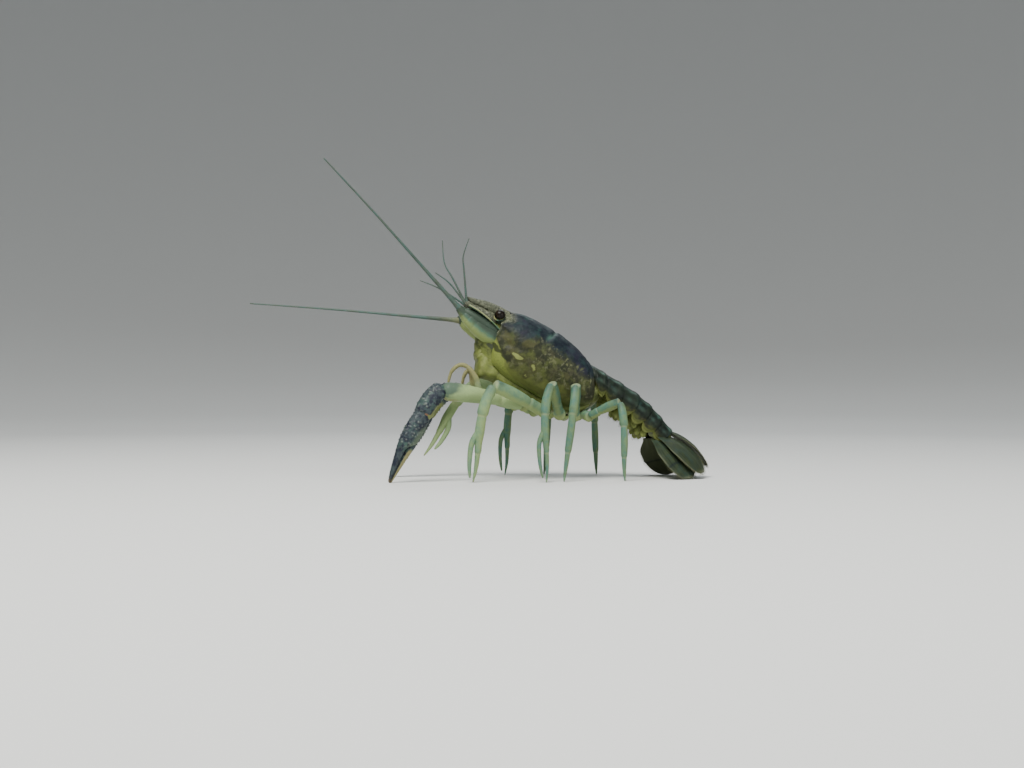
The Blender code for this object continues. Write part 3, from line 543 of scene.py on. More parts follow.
def shell_finish(name, dark, mid, cast):
    """Dark slate back with teal partly as painted sheen, mottled olive sides, yellow-green lower
    front.
    """
    make = Finish(name, Specular_IOR_Level=0.15, Coat_Weight=0.04, Coat_Roughness=0.3)
    side, front, knob, seam, pale = make.marks("side front knob seam pale")
    level = side + (make.clouds(3.0, 4.0) - 0.5) * 0.32
    fine = make.clouds(0.5, 4.0, 0.65)
    ragged = pale + (fine - 0.5) * 0.5
    on_flank = level.steps(0.36, 0.48)
    zone = on_flank * (1.0 - level.steps(0.68, 0.80)) * knob
    spots = make.clouds(0.8, 4.0, 0.7).steps(0.56, 0.66) * on_flank
    spots = spots * (1.0 - level.steps(0.66, 0.80) * 0.8)
    # Faint pale teal specks scattered over the upper back
    back_specks = (1.0 - make.cells(1.1).steps(0.07, 0.17)) * (1.0 - level.steps(0.35, 0.5)) * 0.16
    back = make.mix(
        dark,
        (mid, make.clouds(1.7, 5.0, 0.7).steps(0.40, 0.62)),
        # Teal patches: partly the shell's own teal, partly painted sheen
        (TEAL_AND_SHEEN, make.clouds(3.0, 4.0).steps(0.50, 0.68) * 0.7),
        (cast, make.clouds(4.5, 2.0).steps(0.54, 0.66) * 0.5),
    )
    flank = make.mix(
        DARK_OLIVE,
        (OLIVE_BROWN, make.clouds(1.3, 5.0, 0.68).steps(0.40, 0.62)),
        (OLIVE_GREEN, make.clouds(2.6, 3.0).steps(0.46, 0.64) * 0.7),
    )
    snout = make.mix(
        SNOUT_DARK,
        (SNOUT_PALE, fine.steps(0.42, 0.66)),
        (DARK_OLIVE, make.clouds(0.9, 4.0).steps(0.52, 0.64) * 0.45),
    )
    low = make.mix(YELLOW_GREEN, (OLIVE_GREEN, fine.steps(0.45, 0.75) * 0.5))
    base = make.mix(
        back,
        (flank, level.steps(0.38, 0.58)),
        # Lower flank: its own olive green, lightened as painted light against the shade that falls
        # there
        (FLANK_GREEN_WITH_PAINTED_LIGHT, level.steps(0.66, 0.84) * 0.85),
        (low, level.steps(0.92, 1.06)),
        (LARGE_SPECK, make.clouds(2.3, 4.0, 0.62).steps(0.590, 0.650) * zone * 0.85),
        (SMALL_SPECK, make.clouds(0.95, 5.0, 0.66).steps(0.575, 0.640) * zone * 0.55),
        (DARK_OLIVE, spots * (0.3 + 0.4 * zone)),
        (PALE_TEAL, back_specks),
        (OLIVE_PATCH, ragged.steps(0.20, 0.40) * 0.85),
        (YELLOW_PATCH, ragged.steps(0.60, 0.78) * 0.9),
        (DARK_OLIVE, (0.0 - ragged).steps(0.30, 0.55) * 0.85),
        (snout, front * 0.9),
        (PALE_TEAL, seam * 0.85),
    )
    relief = make.clouds(0.22, 2.0) * 0.35 + make.cells(0.42).steps(0.05, 0.22) * 0.65
    return make.done(base, 0.46 + fine * 0.2, relief, 0.04, 0.7)


def flesh_finish():
    """Soft olive yellow-green underside with dusky blotches."""
    make = Finish("crayfish_underside", Specular_IOR_Level=0.25)
    side, seam, pale = make.marks("side seam pale")
    fine = make.clouds(0.5, 4.0, 0.65)
    ragged = pale + (fine - 0.5) * 0.5
    dusk = make.clouds(1.4, 4.0, 0.6).steps(0.46, 0.62)
    base = make.mix(
        YELLOW_GREEN,
        (FLESH_PALE, make.clouds(1.6).steps(0.42, 0.66)),
        (OLIVE_GREEN, (dusk * 0.6 + 0.4) * side),
        (CREAM, ragged.steps(0.35, 0.70) * 0.9),
        (FLESH_DARK, (0.0 - ragged).steps(0.35, 0.60) * 0.85),
        (DARK_OLIVE, seam * 0.7),
    )
    return make.done(base, 0.48 + fine * 0.15, fine, 0.06, 0.6)


def limb_finish():
    """Green-grey limb, yellower on one side, with dusky stretches and pale joints."""
    make = Finish("crayfish_limb", Specular_IOR_Level=0.14, Coat_Weight=0.02, Coat_Roughness=0.3)
    below, dusk, knob, joint, pale = make.marks("side front knob seam pale")
    cloud = make.clouds(1.5, 4.0, 0.62)
    fine = make.clouds(0.35, 4.0, 0.65)
    base = make.mix(
        LEG_TEAL,
        (LEG_GREEN, cloud.steps(0.36, 0.64)),
        (LEG_YELLOW, (below + (cloud - 0.5) * 0.5).steps(0.25, 0.95)),
        # Pale merus green by the knob mark: the claw arm's own colour, a paler tone on the second
        # legs, and painted light on the raised right leg
        (MERUS_GREEN, knob.steps(0.0, 1.0) * 0.8),
        (LEG_DUSK, (dusk + (cloud - 0.5) * 0.7).steps(0.30, 1.00) * 0.8),
        (LEG_DUSK, fine.steps(0.56, 0.70) * 0.25),
        (JOINT_PALE, (1.0 - make.cells(0.55).steps(0.08, 0.20)) * 0.3),
        # Pale joints; on the antennal scale the joint and pale marks paint its outer edge pale as
        # a highlight
        (JOINT_PALE, joint * 0.7),
        (STEM_GREY, (0.0 - pale + (cloud - 0.5) * 0.6).steps(0.10, 0.90)),
        (BEIGE, pale.steps(0.0, 1.0)),
    )
    return make.done(base, 0.42 + fine * 0.18, make.clouds(0.22, 3.0), 0.04, 0.7)


def claw_finish():
    """Blue-black claw, teal in places, with pale grains and a paler inner side."""
    make = Finish("crayfish_claw", Specular_IOR_Level=0.25, Coat_Weight=0.05, Coat_Roughness=0.3)
    inner, tip, knob, seam, pale = make.marks("side front knob seam pale")
    cloud = make.clouds(1.2, 5.0, 0.7)
    broad = make.clouds(3.2, 3.0)
    fine = make.clouds(0.35, 4.0, 0.65)
    base = make.mix(
        CLAW_DARK,
        (CLAW_BLUE, cloud.steps(0.38, 0.60)),
        (CLAW_TEAL, broad.steps(0.46, 0.62) * cloud.steps(0.42, 0.60) * 0.8),
        (CLAW_INNER, (inner + (cloud - 0.5) * 0.7).steps(0.20, 0.85)),
        (CLAW_DARK, fine.steps(0.54, 0.68) * 0.5),
        (CLAW_PALE, knob * (broad.steps(0.40, 0.60) * 0.5 + 0.3)),
        (CLAW_YELLOW, (0.0 - pale + (cloud - 0.5) * 0.4).steps(0.15, 0.75)),
        (CLAW_EDGE, (pale + (cloud - 0.5) * 0.3).steps(0.25, 0.85)),
        (CLAW_TIP, tip * 0.6),
        (JOINT_ORANGE, seam * 0.3),
    )
    relief = make.clouds(0.2, 2.0) * 0.5 + make.cells(0.35).steps(0.05, 0.3) * 0.5
    return make.done(base, 0.40 + fine * 0.18, relief, 0.035, 0.7)


def fan_finish():
    """Smoky green-grey blade with fine lines, raised rays and a thin pale rim."""
    make = Finish("crayfish_fan", Specular_IOR_Level=0.15, Coat_Weight=0.03, Coat_Roughness=0.3)
    rim, spread, ray, seam, pale = make.marks("side front knob seam pale")
    cloud = make.clouds(1.6, 5.0, 0.65)
    lines = (spread * 75.0).wave() * 0.5 + 0.5
    base = make.mix(
        FAN_DARK,
        (FAN_OLIVE, cloud.steps(0.42, 0.66) * 0.8),
        (FAN_TEAL, make.clouds(2.6, 3.0).steps(0.48, 0.64) * 0.7),
        (FAN_RAY, lines * 0.3),
        (FAN_RAY, ray * 0.7),
        (OLIVE_GREEN, make.clouds(0.6, 3.0).steps(0.58, 0.68) * 0.3),
        # Underside painted paler: partly its own colour, partly painted light on the side in shade
        (FAN_UNDER_AND_PAINTED_LIGHT, pale * 0.85),
        (FAN_RIM, rim * 0.7),
        (NAVY, seam * 0.6),
    )
    return make.done(base, 0.42 + cloud * 0.18, lines, 0.04, 0.5)


def feeler_finish():
    """Teal-grey feeler, ringed finely and paler between the rings."""
    make = Finish("crayfish_feeler", Specular_IOR_Level=0.25)
    ring, below = make.marks("knob side")
    cloud = make.clouds(2.2, 3.0)
    base = make.mix(
        FEELER_TEAL,
        (FEELER_GREY, cloud.steps(0.40, 0.62)),
        (OLIVE_BROWN, make.clouds(5.0, 2.0).steps(0.52, 0.66) * 0.35),
        (BEIGE, below * 0.8),
        (STEM_GREY, ring * 0.4),
    )
    return make.done(base, 0.46 + cloud * 0.1)


def eye_finish():
    make = Finish("crayfish_eye", Specular_IOR_Level=0.12, Coat_Weight=0.05, Coat_Roughness=0.25)
    cells = make.cells(0.07)
    (rim,) = make.marks("seam")
    base = make.mix(EYE_BLACK, (EYE_BROWN, make.clouds(1.0).steps(0.4, 0.7)), (CREAM, rim * 0.8))
    return make.done(base, 0.3 + cells * 0.05, cells, 0.004, 0.3)


def hair_finish():
    make = Finish("crayfish_hair", Specular_IOR_Level=0.3)
    cloud = make.clouds(1.5, 2.0)
    return make.done(make.mix(HAIR_TAN, (OLIVE_GREEN, cloud.steps(0.4, 0.7))), 0.6 + cloud * 0.1)


def membrane_finish():
    make = Finish("crayfish_joint_membrane", Specular_IOR_Level=0.5)
    cloud = make.clouds(0.6, 3.0)
    base = make.mix(JOINT_ORANGE, (JOINT_YELLOW, cloud.steps(0.4, 0.65)))
    return make.done(base, 0.38 + cloud * 0.15, cloud, 0.05, 0.6)


# Blotches on the carapace's side: distance forward, height, half length, half width, turn
# and strength, and the line below which the side is yellow-green
FLANK_BLOTCHES = (
    (18.3, -9.6, 2.0, 0.75, 0.0, 1.25),
    (17.6, -5.4, 2.1, 1.2, -0.6, 0.6),
    (22.4, -7.1, 2.9, 1.1, 0.5, 0.6),
    (13.2, -9.9, 1.4, 1.1, 0.8, 0.95),
    (13.9, -12.5, 0.8, 0.8, 0.0, 0.85),
    (4.6, -7.0, 1.4, 1.2, 0.0, 0.55),
    (24.2, -10.6, 2.2, 0.7, 0.0, -1.0),
    (20.4, -11.3, 1.6, 0.9, 0.0, -0.8),
    (14.6, -5.6, 1.4, 1.2, 0.9, -0.7),
)
BELLY_LINE = (
    (0.0, -14.6), (6.5, -14.6), (14.0, -14.9), (17.0, -14.2), (19.5, -13.0), (22.0, -10.9),
    (24.5, -8.9), (26.0, -7.6),
)


def shell_values(x):
    """The carapace's section x millimetres forward of its rear edge."""
    wall = ease(CARAPACE[-1][0], ROSTRUM[0][0], x)
    values = []
    for column in range(1, 7):
        rear = curve(CARAPACE, min(x, CARAPACE[-1][0]), column)
        fore = curve(ROSTRUM, max(x, ROSTRUM[0][0]), column)
        values.append(rear + (fore - rear) * wall)
    return values


def shell_outline(values, w):
    """Across and height on a section: w is 0 on the back's middle and 1 under the middle."""
    top, half_width, wide, low, low_half, _ = values
    if w < UPPER_ARC:
        turn = 0.5 * pi * w / UPPER_ARC
        return half_width * sin(turn), wide + (top - wide) * cos(turn)
    if w < LOWER_MARGIN:
        turn = 0.5 * pi * (w - UPPER_ARC) / (LOWER_MARGIN - UPPER_ARC)
        across = low_half + (half_width - low_half) * cos(turn)
        return across, wide - (wide - low) * sin(turn)
    share = (w - LOWER_MARGIN) / (1.0 - LOWER_MARGIN)
    return low_half * (1.0 - share), low + 0.4 * share


REAR_ROWS = 0.02
BODY_ROWS = 0.72
WALL_ROWS = 0.78


def shell_x(u):
    """How far forward a row of the carapace's grid lies."""
    if u < REAR_ROWS:
        return 0.0
    if u < BODY_ROWS:
        return CARAPACE[-1][0] * (u - REAR_ROWS) / (BODY_ROWS - REAR_ROWS)
    if u < WALL_ROWS:
        share = (u - BODY_ROWS) / (WALL_ROWS - BODY_ROWS)
        return CARAPACE[-1][0] + (ROSTRUM[0][0] - CARAPACE[-1][0]) * share
    share = (u - WALL_ROWS) / (1.0 - WALL_ROWS)
    return ROSTRUM[0][0] + (ROSTRUM[-1][0] - ROSTRUM[0][0]) * share


def front_margin(w):
    """How far aft the carapace's front edge is cut back for the eye and the mouth parts."""
    orbit = 1.3 * ridge(w - 0.36, 0.10)
    corner = -0.55 * ridge(w - 0.55, 0.035)
    return orbit + corner + 1.3 * ease(0.66, 0.86, w)


def shell_row(u):
    x = shell_x(u)
    values = shell_values(x)
    lean = values[5]
    middle = (values[0] + values[3]) * 0.5
    size = 1.0
    if u < REAR_ROWS:
        size = u / REAR_ROWS
    if u > 0.995:
        size = 1.0 - (u - 0.995) / 0.005
    edge = ease(20.0, 25.2, x) * fade(25.5, 25.9, x)

    def at(w):
        across, height = shell_outline(values, w)
        forward = x + lean * height - front_margin(w) * edge
        height = middle + (height - middle) * size
        return body_point(forward, -across * size, height)

    return at


def shell_relief(u, w, point):
    """Grooves, ridges and grains of the carapace in millimetres, with its marks."""
    x = shell_x(u)
    if u < REAR_ROWS:
        return 0.0, w, 0.0, 0.0, 0.0
    across = abs(point.y)
    on_body = fade(25.0, 25.5, x)
    on_back = fade(0.45, 0.5, w)
    height = 0.0
    upper = fade(0.56, 0.68, w)
    cervical = ridge(x - GROOVE_AT, 0.5) * (0.45 + 0.55 * ease(0.02, 0.12, w))
    height -= 0.22 * cervical * upper * (1.0 - 0.75 * ease(0.34, 0.44, w))
    run = ease(12.5, 14.5, x) * fade(20.0, 22.5, x)
    hepatic = ridge((w - 0.60 - 0.006 * (x - GROOVE_AT)) * 24.0, 0.5) * run
    height -= 0.22 * hepatic
    areola = 0.75 + 0.95 * ((x - 6.6) / 6.0) ** 2
    on_areola = ease(1.4, 2.6, x) * fade(11.2, 12.4, x)
    height -= 0.09 * ridge(across - areola, 0.26) * on_areola * on_back
    height -= 0.20 * ridge(x - 1.25, 0.30) * fade(0.8, 0.86, w)
    height -= 0.07 * ridge((w - 0.815) * 26.0, 0.35) * ease(0.8, 2.0, x) * on_body
    low_front = fade(0.82, 0.87, w)
    height += 0.14 * ridge(x - 25.2, 0.3) * ease(0.2, 0.3, w) * low_front
    height -= 0.10 * ridge(x - 24.4, 0.35) * ease(0.3, 0.4, w) * low_front
    brow = ridge(across - 2.95 - 0.1 * (25.3 - x), 0.5) * on_back
    height += 0.26 * brow * ease(19.0, 22.5, x) * on_body
    keel = ridge(w - 0.40, 0.10) * ease(25.4, 26.4, x) * fade(34.5, 36.5, x)
    height += 0.20 * keel
    trough = ridge(w, 0.24) * ease(22.5, 25.0, x) * fade(33.0, 36.0, x)
    height -= 0.34 * trough
    flank = ease(0.28, 0.42, w) * fade(0.78, 0.84, w) * on_body
    grain = granules(point, 0.85, 0.42)
    rough = 0.03 + 0.06 * flank * (1.0 - 0.7 * ease(13.5, 17.0, x))
    height += grain * rough * (1.0 - cervical) * on_body
    swell = noise.noise(point * 0.45) * 0.10 + noise.noise(point * 1.3) * 0.035
    height += swell * ease(0.5, 2.0, x) * on_body
    side = min(w / LOWER_MARGIN, 1.0)
    side -= 0.10 * ease(0.6, 1.0, side)
    side -= 0.16 * ease(14.0, 18.0, x) + 0.08 * fade(3.0, 8.0, x)
    forward, depth = body_place(point)
    belly = ease(-0.7, 0.7, curve(BELLY_LINE, forward) - depth + 0.5 * noise.noise(point * 0.6))
    side += (1.1 - side) * belly * on_body
    front = ease(23.0, 26.0, x) * (1.0 - ease(0.36, 0.56, w) * on_body)
    wall = ease(25.45, 25.6, x) * fade(25.9, 26.3, x)
    side = side + (0.95 - side) * wall
    patch = 0.8 * ridge(x - GROOVE_AT - 0.3, 0.5) * ridge(w - 0.30, 0.06)
    patch += 0.4 * ridge(x - GROOVE_AT + 0.1, 0.4) * ridge(w - 0.14, 0.10)
    blotch = flank_blotch(forward, depth, point) * on_body
    return height, side, front, fade(13.5, 16.5, x), patch, blotch


def flank_blotch(forward, depth, point):
    """The large blotches on the carapace's side: above 0 pale, below 0 dark."""
    total = 0.0
    forward += 0.7 * noise.noise(point * 0.7)
    depth += 0.7 * noise.noise(point * 0.7 + UP * 9.0)
    for at, high, half_length, half_width, turn, strength in FLANK_BLOTCHES:
        along = (forward - at) * cos(turn) + (depth - high) * sin(turn)
        away = (depth - high) * cos(turn) - (forward - at) * sin(turn)
        total += strength * ridge(along, half_length) * ridge(away, half_width)
    return total


def on_shell(x, across):
    """A point on the upper arc of the carapace, and the direction out of it."""
    top, half_width, wide = shell_values(x)[:3]
    share = min(abs(across) / half_width, 0.99)
    rise = sqrt(1.0 - share * share)
    height = wide + (top - wide) * rise
    out = SIDE * (across / half_width ** 2) + DORSAL * (rise / (top - wide))
    return body_point(x + shell_values(x)[5] * height, across, height), out.normalized()


def make_carapace(shell):
    form = Form()
    form.drape(210, 130, shell_row)
    form.mirror()
    form.emboss(form.bm.verts[:], shell_relief)
    for side in (-1, 1):
        brow, out = on_shell(25.1, side * 3.0)
        form.spine(brow, out * 0.25 - AFT, 1.0, 0.28, 0.35)
        lateral = body_point(34.0, side * 1.35, -2.4)
        form.spine(lateral, -AFT + SIDE * (side * 0.55) + DORSAL * 0.1, 0.9, 0.22)
        cheek = body_point(16.4, side * 7.75, -7.2)
        form.spine(cheek, -AFT * 0.8 + SIDE * side, 0.85, 0.27)
        corner = body_point(25.2, side * 5.0, -8.4)
        form.spine(corner, -AFT + SIDE * (side * 0.3), 0.8, 0.22)
    form.piece("carapace_shell", shell, "shell", "carapace")


def pleon_planes():
    """Top point, face pitch, half width, depth and belly share where the segments meet."""
    top = REAR_TOP + Vector((0.15, 0.0, 0.0))
    planes = [(top, 0.0, *PLEON_FRONT)]
    for length, pitch, face, half_width, depth, belly in PLEON:
        turn = radians(pitch)
        top = top + Vector((cos(turn), 0.0, -sin(turn))) * length
        planes.append((top, radians(face), half_width, depth, belly))
    return planes


def face_normal(face):
    return Vector((cos(face), 0.0, -sin(face)))


def face_down(face):
    return Vector((-sin(face), 0.0, -cos(face)))


TERGITE_ARC = 0.62
PLEURON_LIFT = (
    (-0.3, 0.30), (0.0, 0.50), (0.25, 0.88), (0.5, 1.0), (0.75, 0.96), (1.0, 0.62), (1.2, 0.35),
)


def between(front, back, t):
    """Face pitch, half width, depth and belly share of a section between two planes."""
    return [fore + (rear - fore) * t for fore, rear in zip(front[1:], back[1:])]


def make_tergite(number, front, back, shell):
    """One shell ring of the pleon: tucked under the ring in front and over the next."""
    last = number == len(PLEON)
    tuck = -0.16 if number > 1 else -0.1
    over = 0.16 if not last else 0.02

    def station(u):
        return tuck + (1.0 + over - tuck) * u

    def row_at(u):
        t = station(u)
        inside = ease(0.12, tuck, t)
        swell = ease(0.5, 1.0, t) * 0.14 - inside * 0.42
        top = front[0] + (back[0] - front[0]) * t
        face, half_width, depth, _ = between(front, back, t)
        half_width += swell
        normal = face_normal(face)
        down = face_down(face)
        wide = depth * 0.52
        lobe = curve(PLEURON_LIFT, t)
        if last:
            lobe = 0.5 + 0.35 * ease(0.0, 0.5, t) * fade(0.75, 1.1, t)
        edge = wide + (depth - wide) * lobe

        def at(w):
            if w < TERGITE_ARC:
                turn = 0.5 * pi * (1.0 - w / TERGITE_ARC)
                across = half_width * cos(turn)
                low = wide - (wide + swell) * sin(turn) ** 0.85
                return top - SIDE * across + down * low
            share = (w - TERGITE_ARC) / (1.0 - TERGITE_ARC)
            across = half_width * (1.0 - 0.13 * share * share)
            lean = 0.35 * share * share
            return top - SIDE * across + down * (wide + (edge - wide) * share) + normal * lean

        return at

    def relief(u, w, point):
        t = station(u)
        on_arc = fade(0.75, 0.95, w)
        height = -0.16 * ridge(t - 0.16, 0.06) * on_arc
        height += 0.10 * ridge(t - 0.95, 0.1) * on_arc
        height -= 0.14 * ridge((w - 0.93) * 14.0, 0.28)
        fold = ridge((w - 0.60) * 16.0, 0.5) * ease(0.1, 0.3, t)
        height += 0.12 * fold
        grain = granules(point, 0.9, 0.35)
        height += 0.03 * grain
        wander = noise.noise(point * 0.5) * 0.08
        patch = ridge(w - 0.30 - wander, 0.06) * ridge(t - 0.75 - 2.0 * wander, 0.28) * 0.6
        patch += 0.2 * ridge(w - 0.56, 0.05) * ridge(t - 0.6, 0.16)
        lower = 0.10 + 0.5 * w + 0.32 * ease(0.70, 0.95, w)
        return height, lower, 0.0, 0.15, min(patch, 1.0)

    form = Form()
    form.drape(34, 64, row_at)
    form.mirror()
    form.emboss(form.bm.verts[:], relief)
    middle = (front[0] + back[0]) * 0.5 + face_down(front[1]) * (front[3] * 0.5)
    outward = sum(face.normal.dot(face.calc_center_median() - middle) for face in form.bm.faces)
    if outward < 0.0:
        bmesh.ops.reverse_faces(form.bm, faces=form.bm.faces)
    bmesh.ops.solidify(form.bm, geom=form.bm.faces[:], thickness=0.3)
    name = "pleon_{}".format(number)
    form.piece(name + "_shell", shell, "shell", name)


def make_belly(planes, flesh):
    """The soft underside of the pleon with its cross bars, and the tail fan's hinge."""

    def row_at(u):
        place = (0.02 + 0.96 * u) * (len(planes) - 1)
        i = min(int(place), len(planes) - 2)
        t = place - i
        front = planes[i]
        back = planes[i + 1]
        top = front[0].lerp(back[0], t)
        face, half_width, depth, share = between(front, back, t)
        half_width *= 0.84
        belly = depth * min(share, 0.8)
        down = face_down(face)
        high = 0.9
        centre = top + down * ((belly + high) * 0.5)
        tall = (belly - high) * 0.5
        size = sqrt(max(0.0, min(1.0, u / 0.02, (1.0 - u) / 0.02)))

        def at(v):
            across, lift = squared(tau * v, 0.7)
            return centre + SIDE * (half_width * size * across) + down * (tall * size * lift)

        return at

    def relief(u, v, point):
        bars = ridge(((u * 6.0 * 0.96 + 0.12) % 1.0) - 0.5, 0.14)
        return 0.22 * bars, 0.2, 0.0, 0.0, 1.0 - bars

    form = Form()
    form.emboss(form.drape(90, 40, row_at), relief)
    top, face = planes[-1][:2]
    hinge = top + face_down(face) * 2.7 + face_normal(face) * 0.4
    form.ball(hinge, (1.9, 4.3, 1.9), 30, 20, (1.0, 0.0, 0.0, 0.6))
    form.piece("pleon_belly", flesh, "underside")


SWIMMERET_PROFILE = ((0.0, 0.6), (0.3, 0.5), (0.55, 0.9), (0.85, 0.7), (1.0, 0.0))


def make_swimmerets(planes, flesh):
    """Four pairs of two-branched swimmerets with fringed blades."""
    form = Form()
    draw = random.Random(5)
    flat = Vector((1.0, 0.0, 0.4))

    def relief(u, v, point):
        return 0.0, 0.5, 0.0, 0.0, 0.3 * ridge(u - 0.3, 0.06)

    for front, back in zip(planes[1:5], planes[2:6]):
        face = (front[1] + back[1]) * 0.5
        down = face_down(face)
        aft = face_normal(face)
        middle = front[0].lerp(back[0], 0.42) + down * (front[3] * 0.6)
        for side in (-1, 1):
            root = middle + SIDE * (side * 2.6)
            for reach, spread, lean in ((4.9, -0.08, 0.3), (4.3, 0.3, 0.5), (4.4, 0.1, 0.0)):
                direction = (down + aft * lean + SIDE * (side * spread)).normalized()
                tip = root + direction * reach
                middle_knots = [root.lerp(tip, share) for share in (0.35, 0.7)]
                path = route([root - direction * 0.6, *middle_knots, tip + aft * 0.3])
                size_at = swelling(SWIMMERET_PROFILE, depth=0.42)
                form.limb(relief, path, size_at, flat, 22, 12)
                for i in range(26):
                    u = 0.42 + 0.58 * i / 25.0
                    wide = size_at(min(u, 0.97))[0]
                    for edge in (-1, 1):
                        out = flat.normalized() * edge
                        start = path(u) + out * (wide * 0.9)
                        heading = out * (1.0 - u * 0.5) + direction * (0.5 + u)
                        form.hair(start, heading, draw.uniform(0.5, 0.85), 0.022)
    form.piece("swimmerets", flesh, "underside")


def blade_surface(root, tip, across, half_width, rise, thickness, arch):
    """A function that places points on a blade, and its directions ahead and across."""
    ahead = (tip - root).normalized()
    across = square_to(ahead, across)
    normal = ahead.cross(across)
    length = (tip - root).length

    def point(share, side, lift):
        opening = sin(pi * min(share, 0.5)) ** 1.5
        widen = BLADE_ROOT_SHARE + (1.0 - BLADE_ROOT_SHARE) * opening
        taper = sqrt(max(0.0, 1.0 - (max(0.0, share - 0.6) / 0.44) ** 2))
        crown = rise * (1.0 - side * side) * sin(pi * min(0.12 + 0.7 * share, 1.0))
        crown += arch * 4.0 * share * (1.0 - share)
        place = root + ahead * (length * share)
        place += across * (half_width * widen * taper * side)
        return place + normal * (crown + lift * thickness)

    return point, ahead, across


def blade_rows(point, share_at, thinned=0.0):
    """Lays both faces of a blade, thinned by this much towards its tip."""

    def row_at(u):
        share = share_at(u)
        fine = 1.0 - thinned * ease(0.5, 1.0, share)

        def at(v):
            turn = tau * v
            lift = 0.5 * squared(turn, 0.6)[1]
            return point(share, -cos(turn), lift * fine)

        return at

    return row_at


FRINGE_START = 0.32
FRINGE_SPACING = 0.1


def make_blade(name, point, ahead, rays, suture, trough, fan, node, flip):
    """A tail-fan blade with raised rays, an edge that thins out and a fringe of hairs."""
    end = 1.04

    def share_at(u):
        return end * sin(0.5 * pi * u) ** 1.15

    def relief(u, v, place):
        share = share_at(u)
        side = -cos(tau * v)
        ray = sum(ridge(side - spot, 0.09) for spot in rays) * (1.0 - 0.6 * share)
        dip = trough * ridge(side, 0.22) * ease(0.1, 0.3, share)
        line = ridge(share - suture - 0.05 * side * side, 0.02) if suture else 0.0
        edge = max(abs(side) ** 14.0 * ease(0.3, 0.5, share), ease(0.97, 1.03, share))
        height = 0.14 * ray - 0.08 * line - 0.16 * dip
        # The underside is painted paler: partly its own colour, partly painted light on the side
        # in shade
        under = ease(0.2, -0.2, sin(tau * v))
        return height, min(edge, 1.0), 0.5 + 0.5 * side, min(ray, 1.0), line, under

    form = Form()
    form.emboss(form.drape(70, 72, blade_rows(point, share_at, 0.55)), relief)
    draw = random.Random(len(name) * 7)
    for edge in (-1.0, 1.0):
        walked = 0.0
        before = point(FRINGE_START, edge, 0.0)
        for i in range(1, 701):
            bend = i / 700.0
            share = FRINGE_START + (end - FRINGE_START) * sin(0.5 * pi * bend)
            rim = point(share, edge, 0.0)
            walked += (rim - before).length
            before = rim
            if walked < FRINGE_SPACING:
                continue
            walked = 0.0
            out = (rim - point(max(share - 0.30, 0.0), 0.0, 0.0)).normalized()
            length = 0.35 + 0.75 * ease(FRINGE_START, 0.75, share)
            jitter = Vector([draw.uniform(-0.1, 0.1) for _ in range(3)])
            form.hair(rim - out * 0.05, out + jitter, length * draw.uniform(0.8, 1.1), 0.03)
    if suture:
        for edge in (-1.0, 1.0):
            form.spine(point(suture, edge, 0.0), ahead, 0.75, 0.2, 0.25)
    if flip:
        bmesh.ops.scale(form.bm, vec=(1.0, -1.0, 1.0), verts=form.bm.verts)
    form.piece(name, fan, "fan", node)


def make_tail_fan(planes, fan):
    top, face = planes[-1][:2]
    normal = face_normal(face)
    down = face_down(face)
    root = top + down * 1.5 - normal * 1.0
    heading = Vector((0.79, 0.0, -0.62)).normalized()
    tip = root + heading * (TELSON_LENGTH + 1.0)
    surface = blade_surface(root, tip, SIDE, 4.6, 0.8, 0.5, 1.0)[:2]
    make_blade("telson_blade", *surface, (-0.42, 0.42), 0.62, 1.0, fan, "telson", False)
    for kind, (depth, across, reach, sweep, half_width, rays) in UROPODS.items():
        root = top + down * depth + SIDE * across - normal * 1.0
        tip = root + Vector(reach)
        surface = blade_surface(root, tip, Vector(sweep), half_width, 0.6, 0.4, 0.9)[:2]
        suture = 0.70 if kind == "outer" else 0.0
        for _, label in SIDES:
            node = "uropod_{}_{}".format(kind, label)
            name = "fan_blade_{}_{}".format(kind, label)
            flip = label == "right"
            make_blade(name, *surface, rays, suture, 0.0, fan, node, flip)


def coxa_direction(number, side):
    return Vector((COXA_SWEEP[number], side * 0.9, -0.12)).normalized()


def hip(number, side):
    return Vector((HIP_X[number], side * HIP_Y, HIP_Z[number]))


# How deep the sternum reaches below each carapace station, and its stations in front of
# them: how far forward, half width, upper and lower height
STERNUM_DEPTHS = (1.7, 1.8, 2.0, 2.1, 2.2, 2.3, 2.6, 3.7, 5.2, 4.3, 3.2)
FACE = (
    (26.2, 3.3, -12.95, -15.6),
    (26.35, 3.3, -11.6, -15.4),
    (26.9, 2.8, -11.9, -14.9),
    (27.3, 1.6, -12.4, -14.2),
)

# Face from under the rostrum down to the mouth: depth, how far forward and aft it
# reaches, and its half width
FACE_OUTLINE = (
    (3.6, 26.9, 24.0, 3.4),
    (4.6, 27.6, 23.5, 3.8),
    (6.5, 29.0, 23.0, 4.3),
    (8.5, 29.3, 22.0, 4.7),
    (10.5, 29.1, 21.0, 4.8),
    (12.0, 28.6, 18.0, 4.7),
    (13.5, 27.6, 16.5, 4.55),
    (14.7, 26.6, 16.0, 4.45),
    (15.9, 25.5, 16.0, 4.2),
    (17.2, 24.2, 16.5, 3.6),
    (18.3, 23.2, 17.5, 2.8),
)
COXA_PROFILE = ((0.0, 0.5), (0.3, 0.88), (0.62, 1.0), (0.86, 0.98), (0.96, 0.8), (1.0, 0.0))
FACE_TOP = -3.6
FACE_FOOT = -18.3


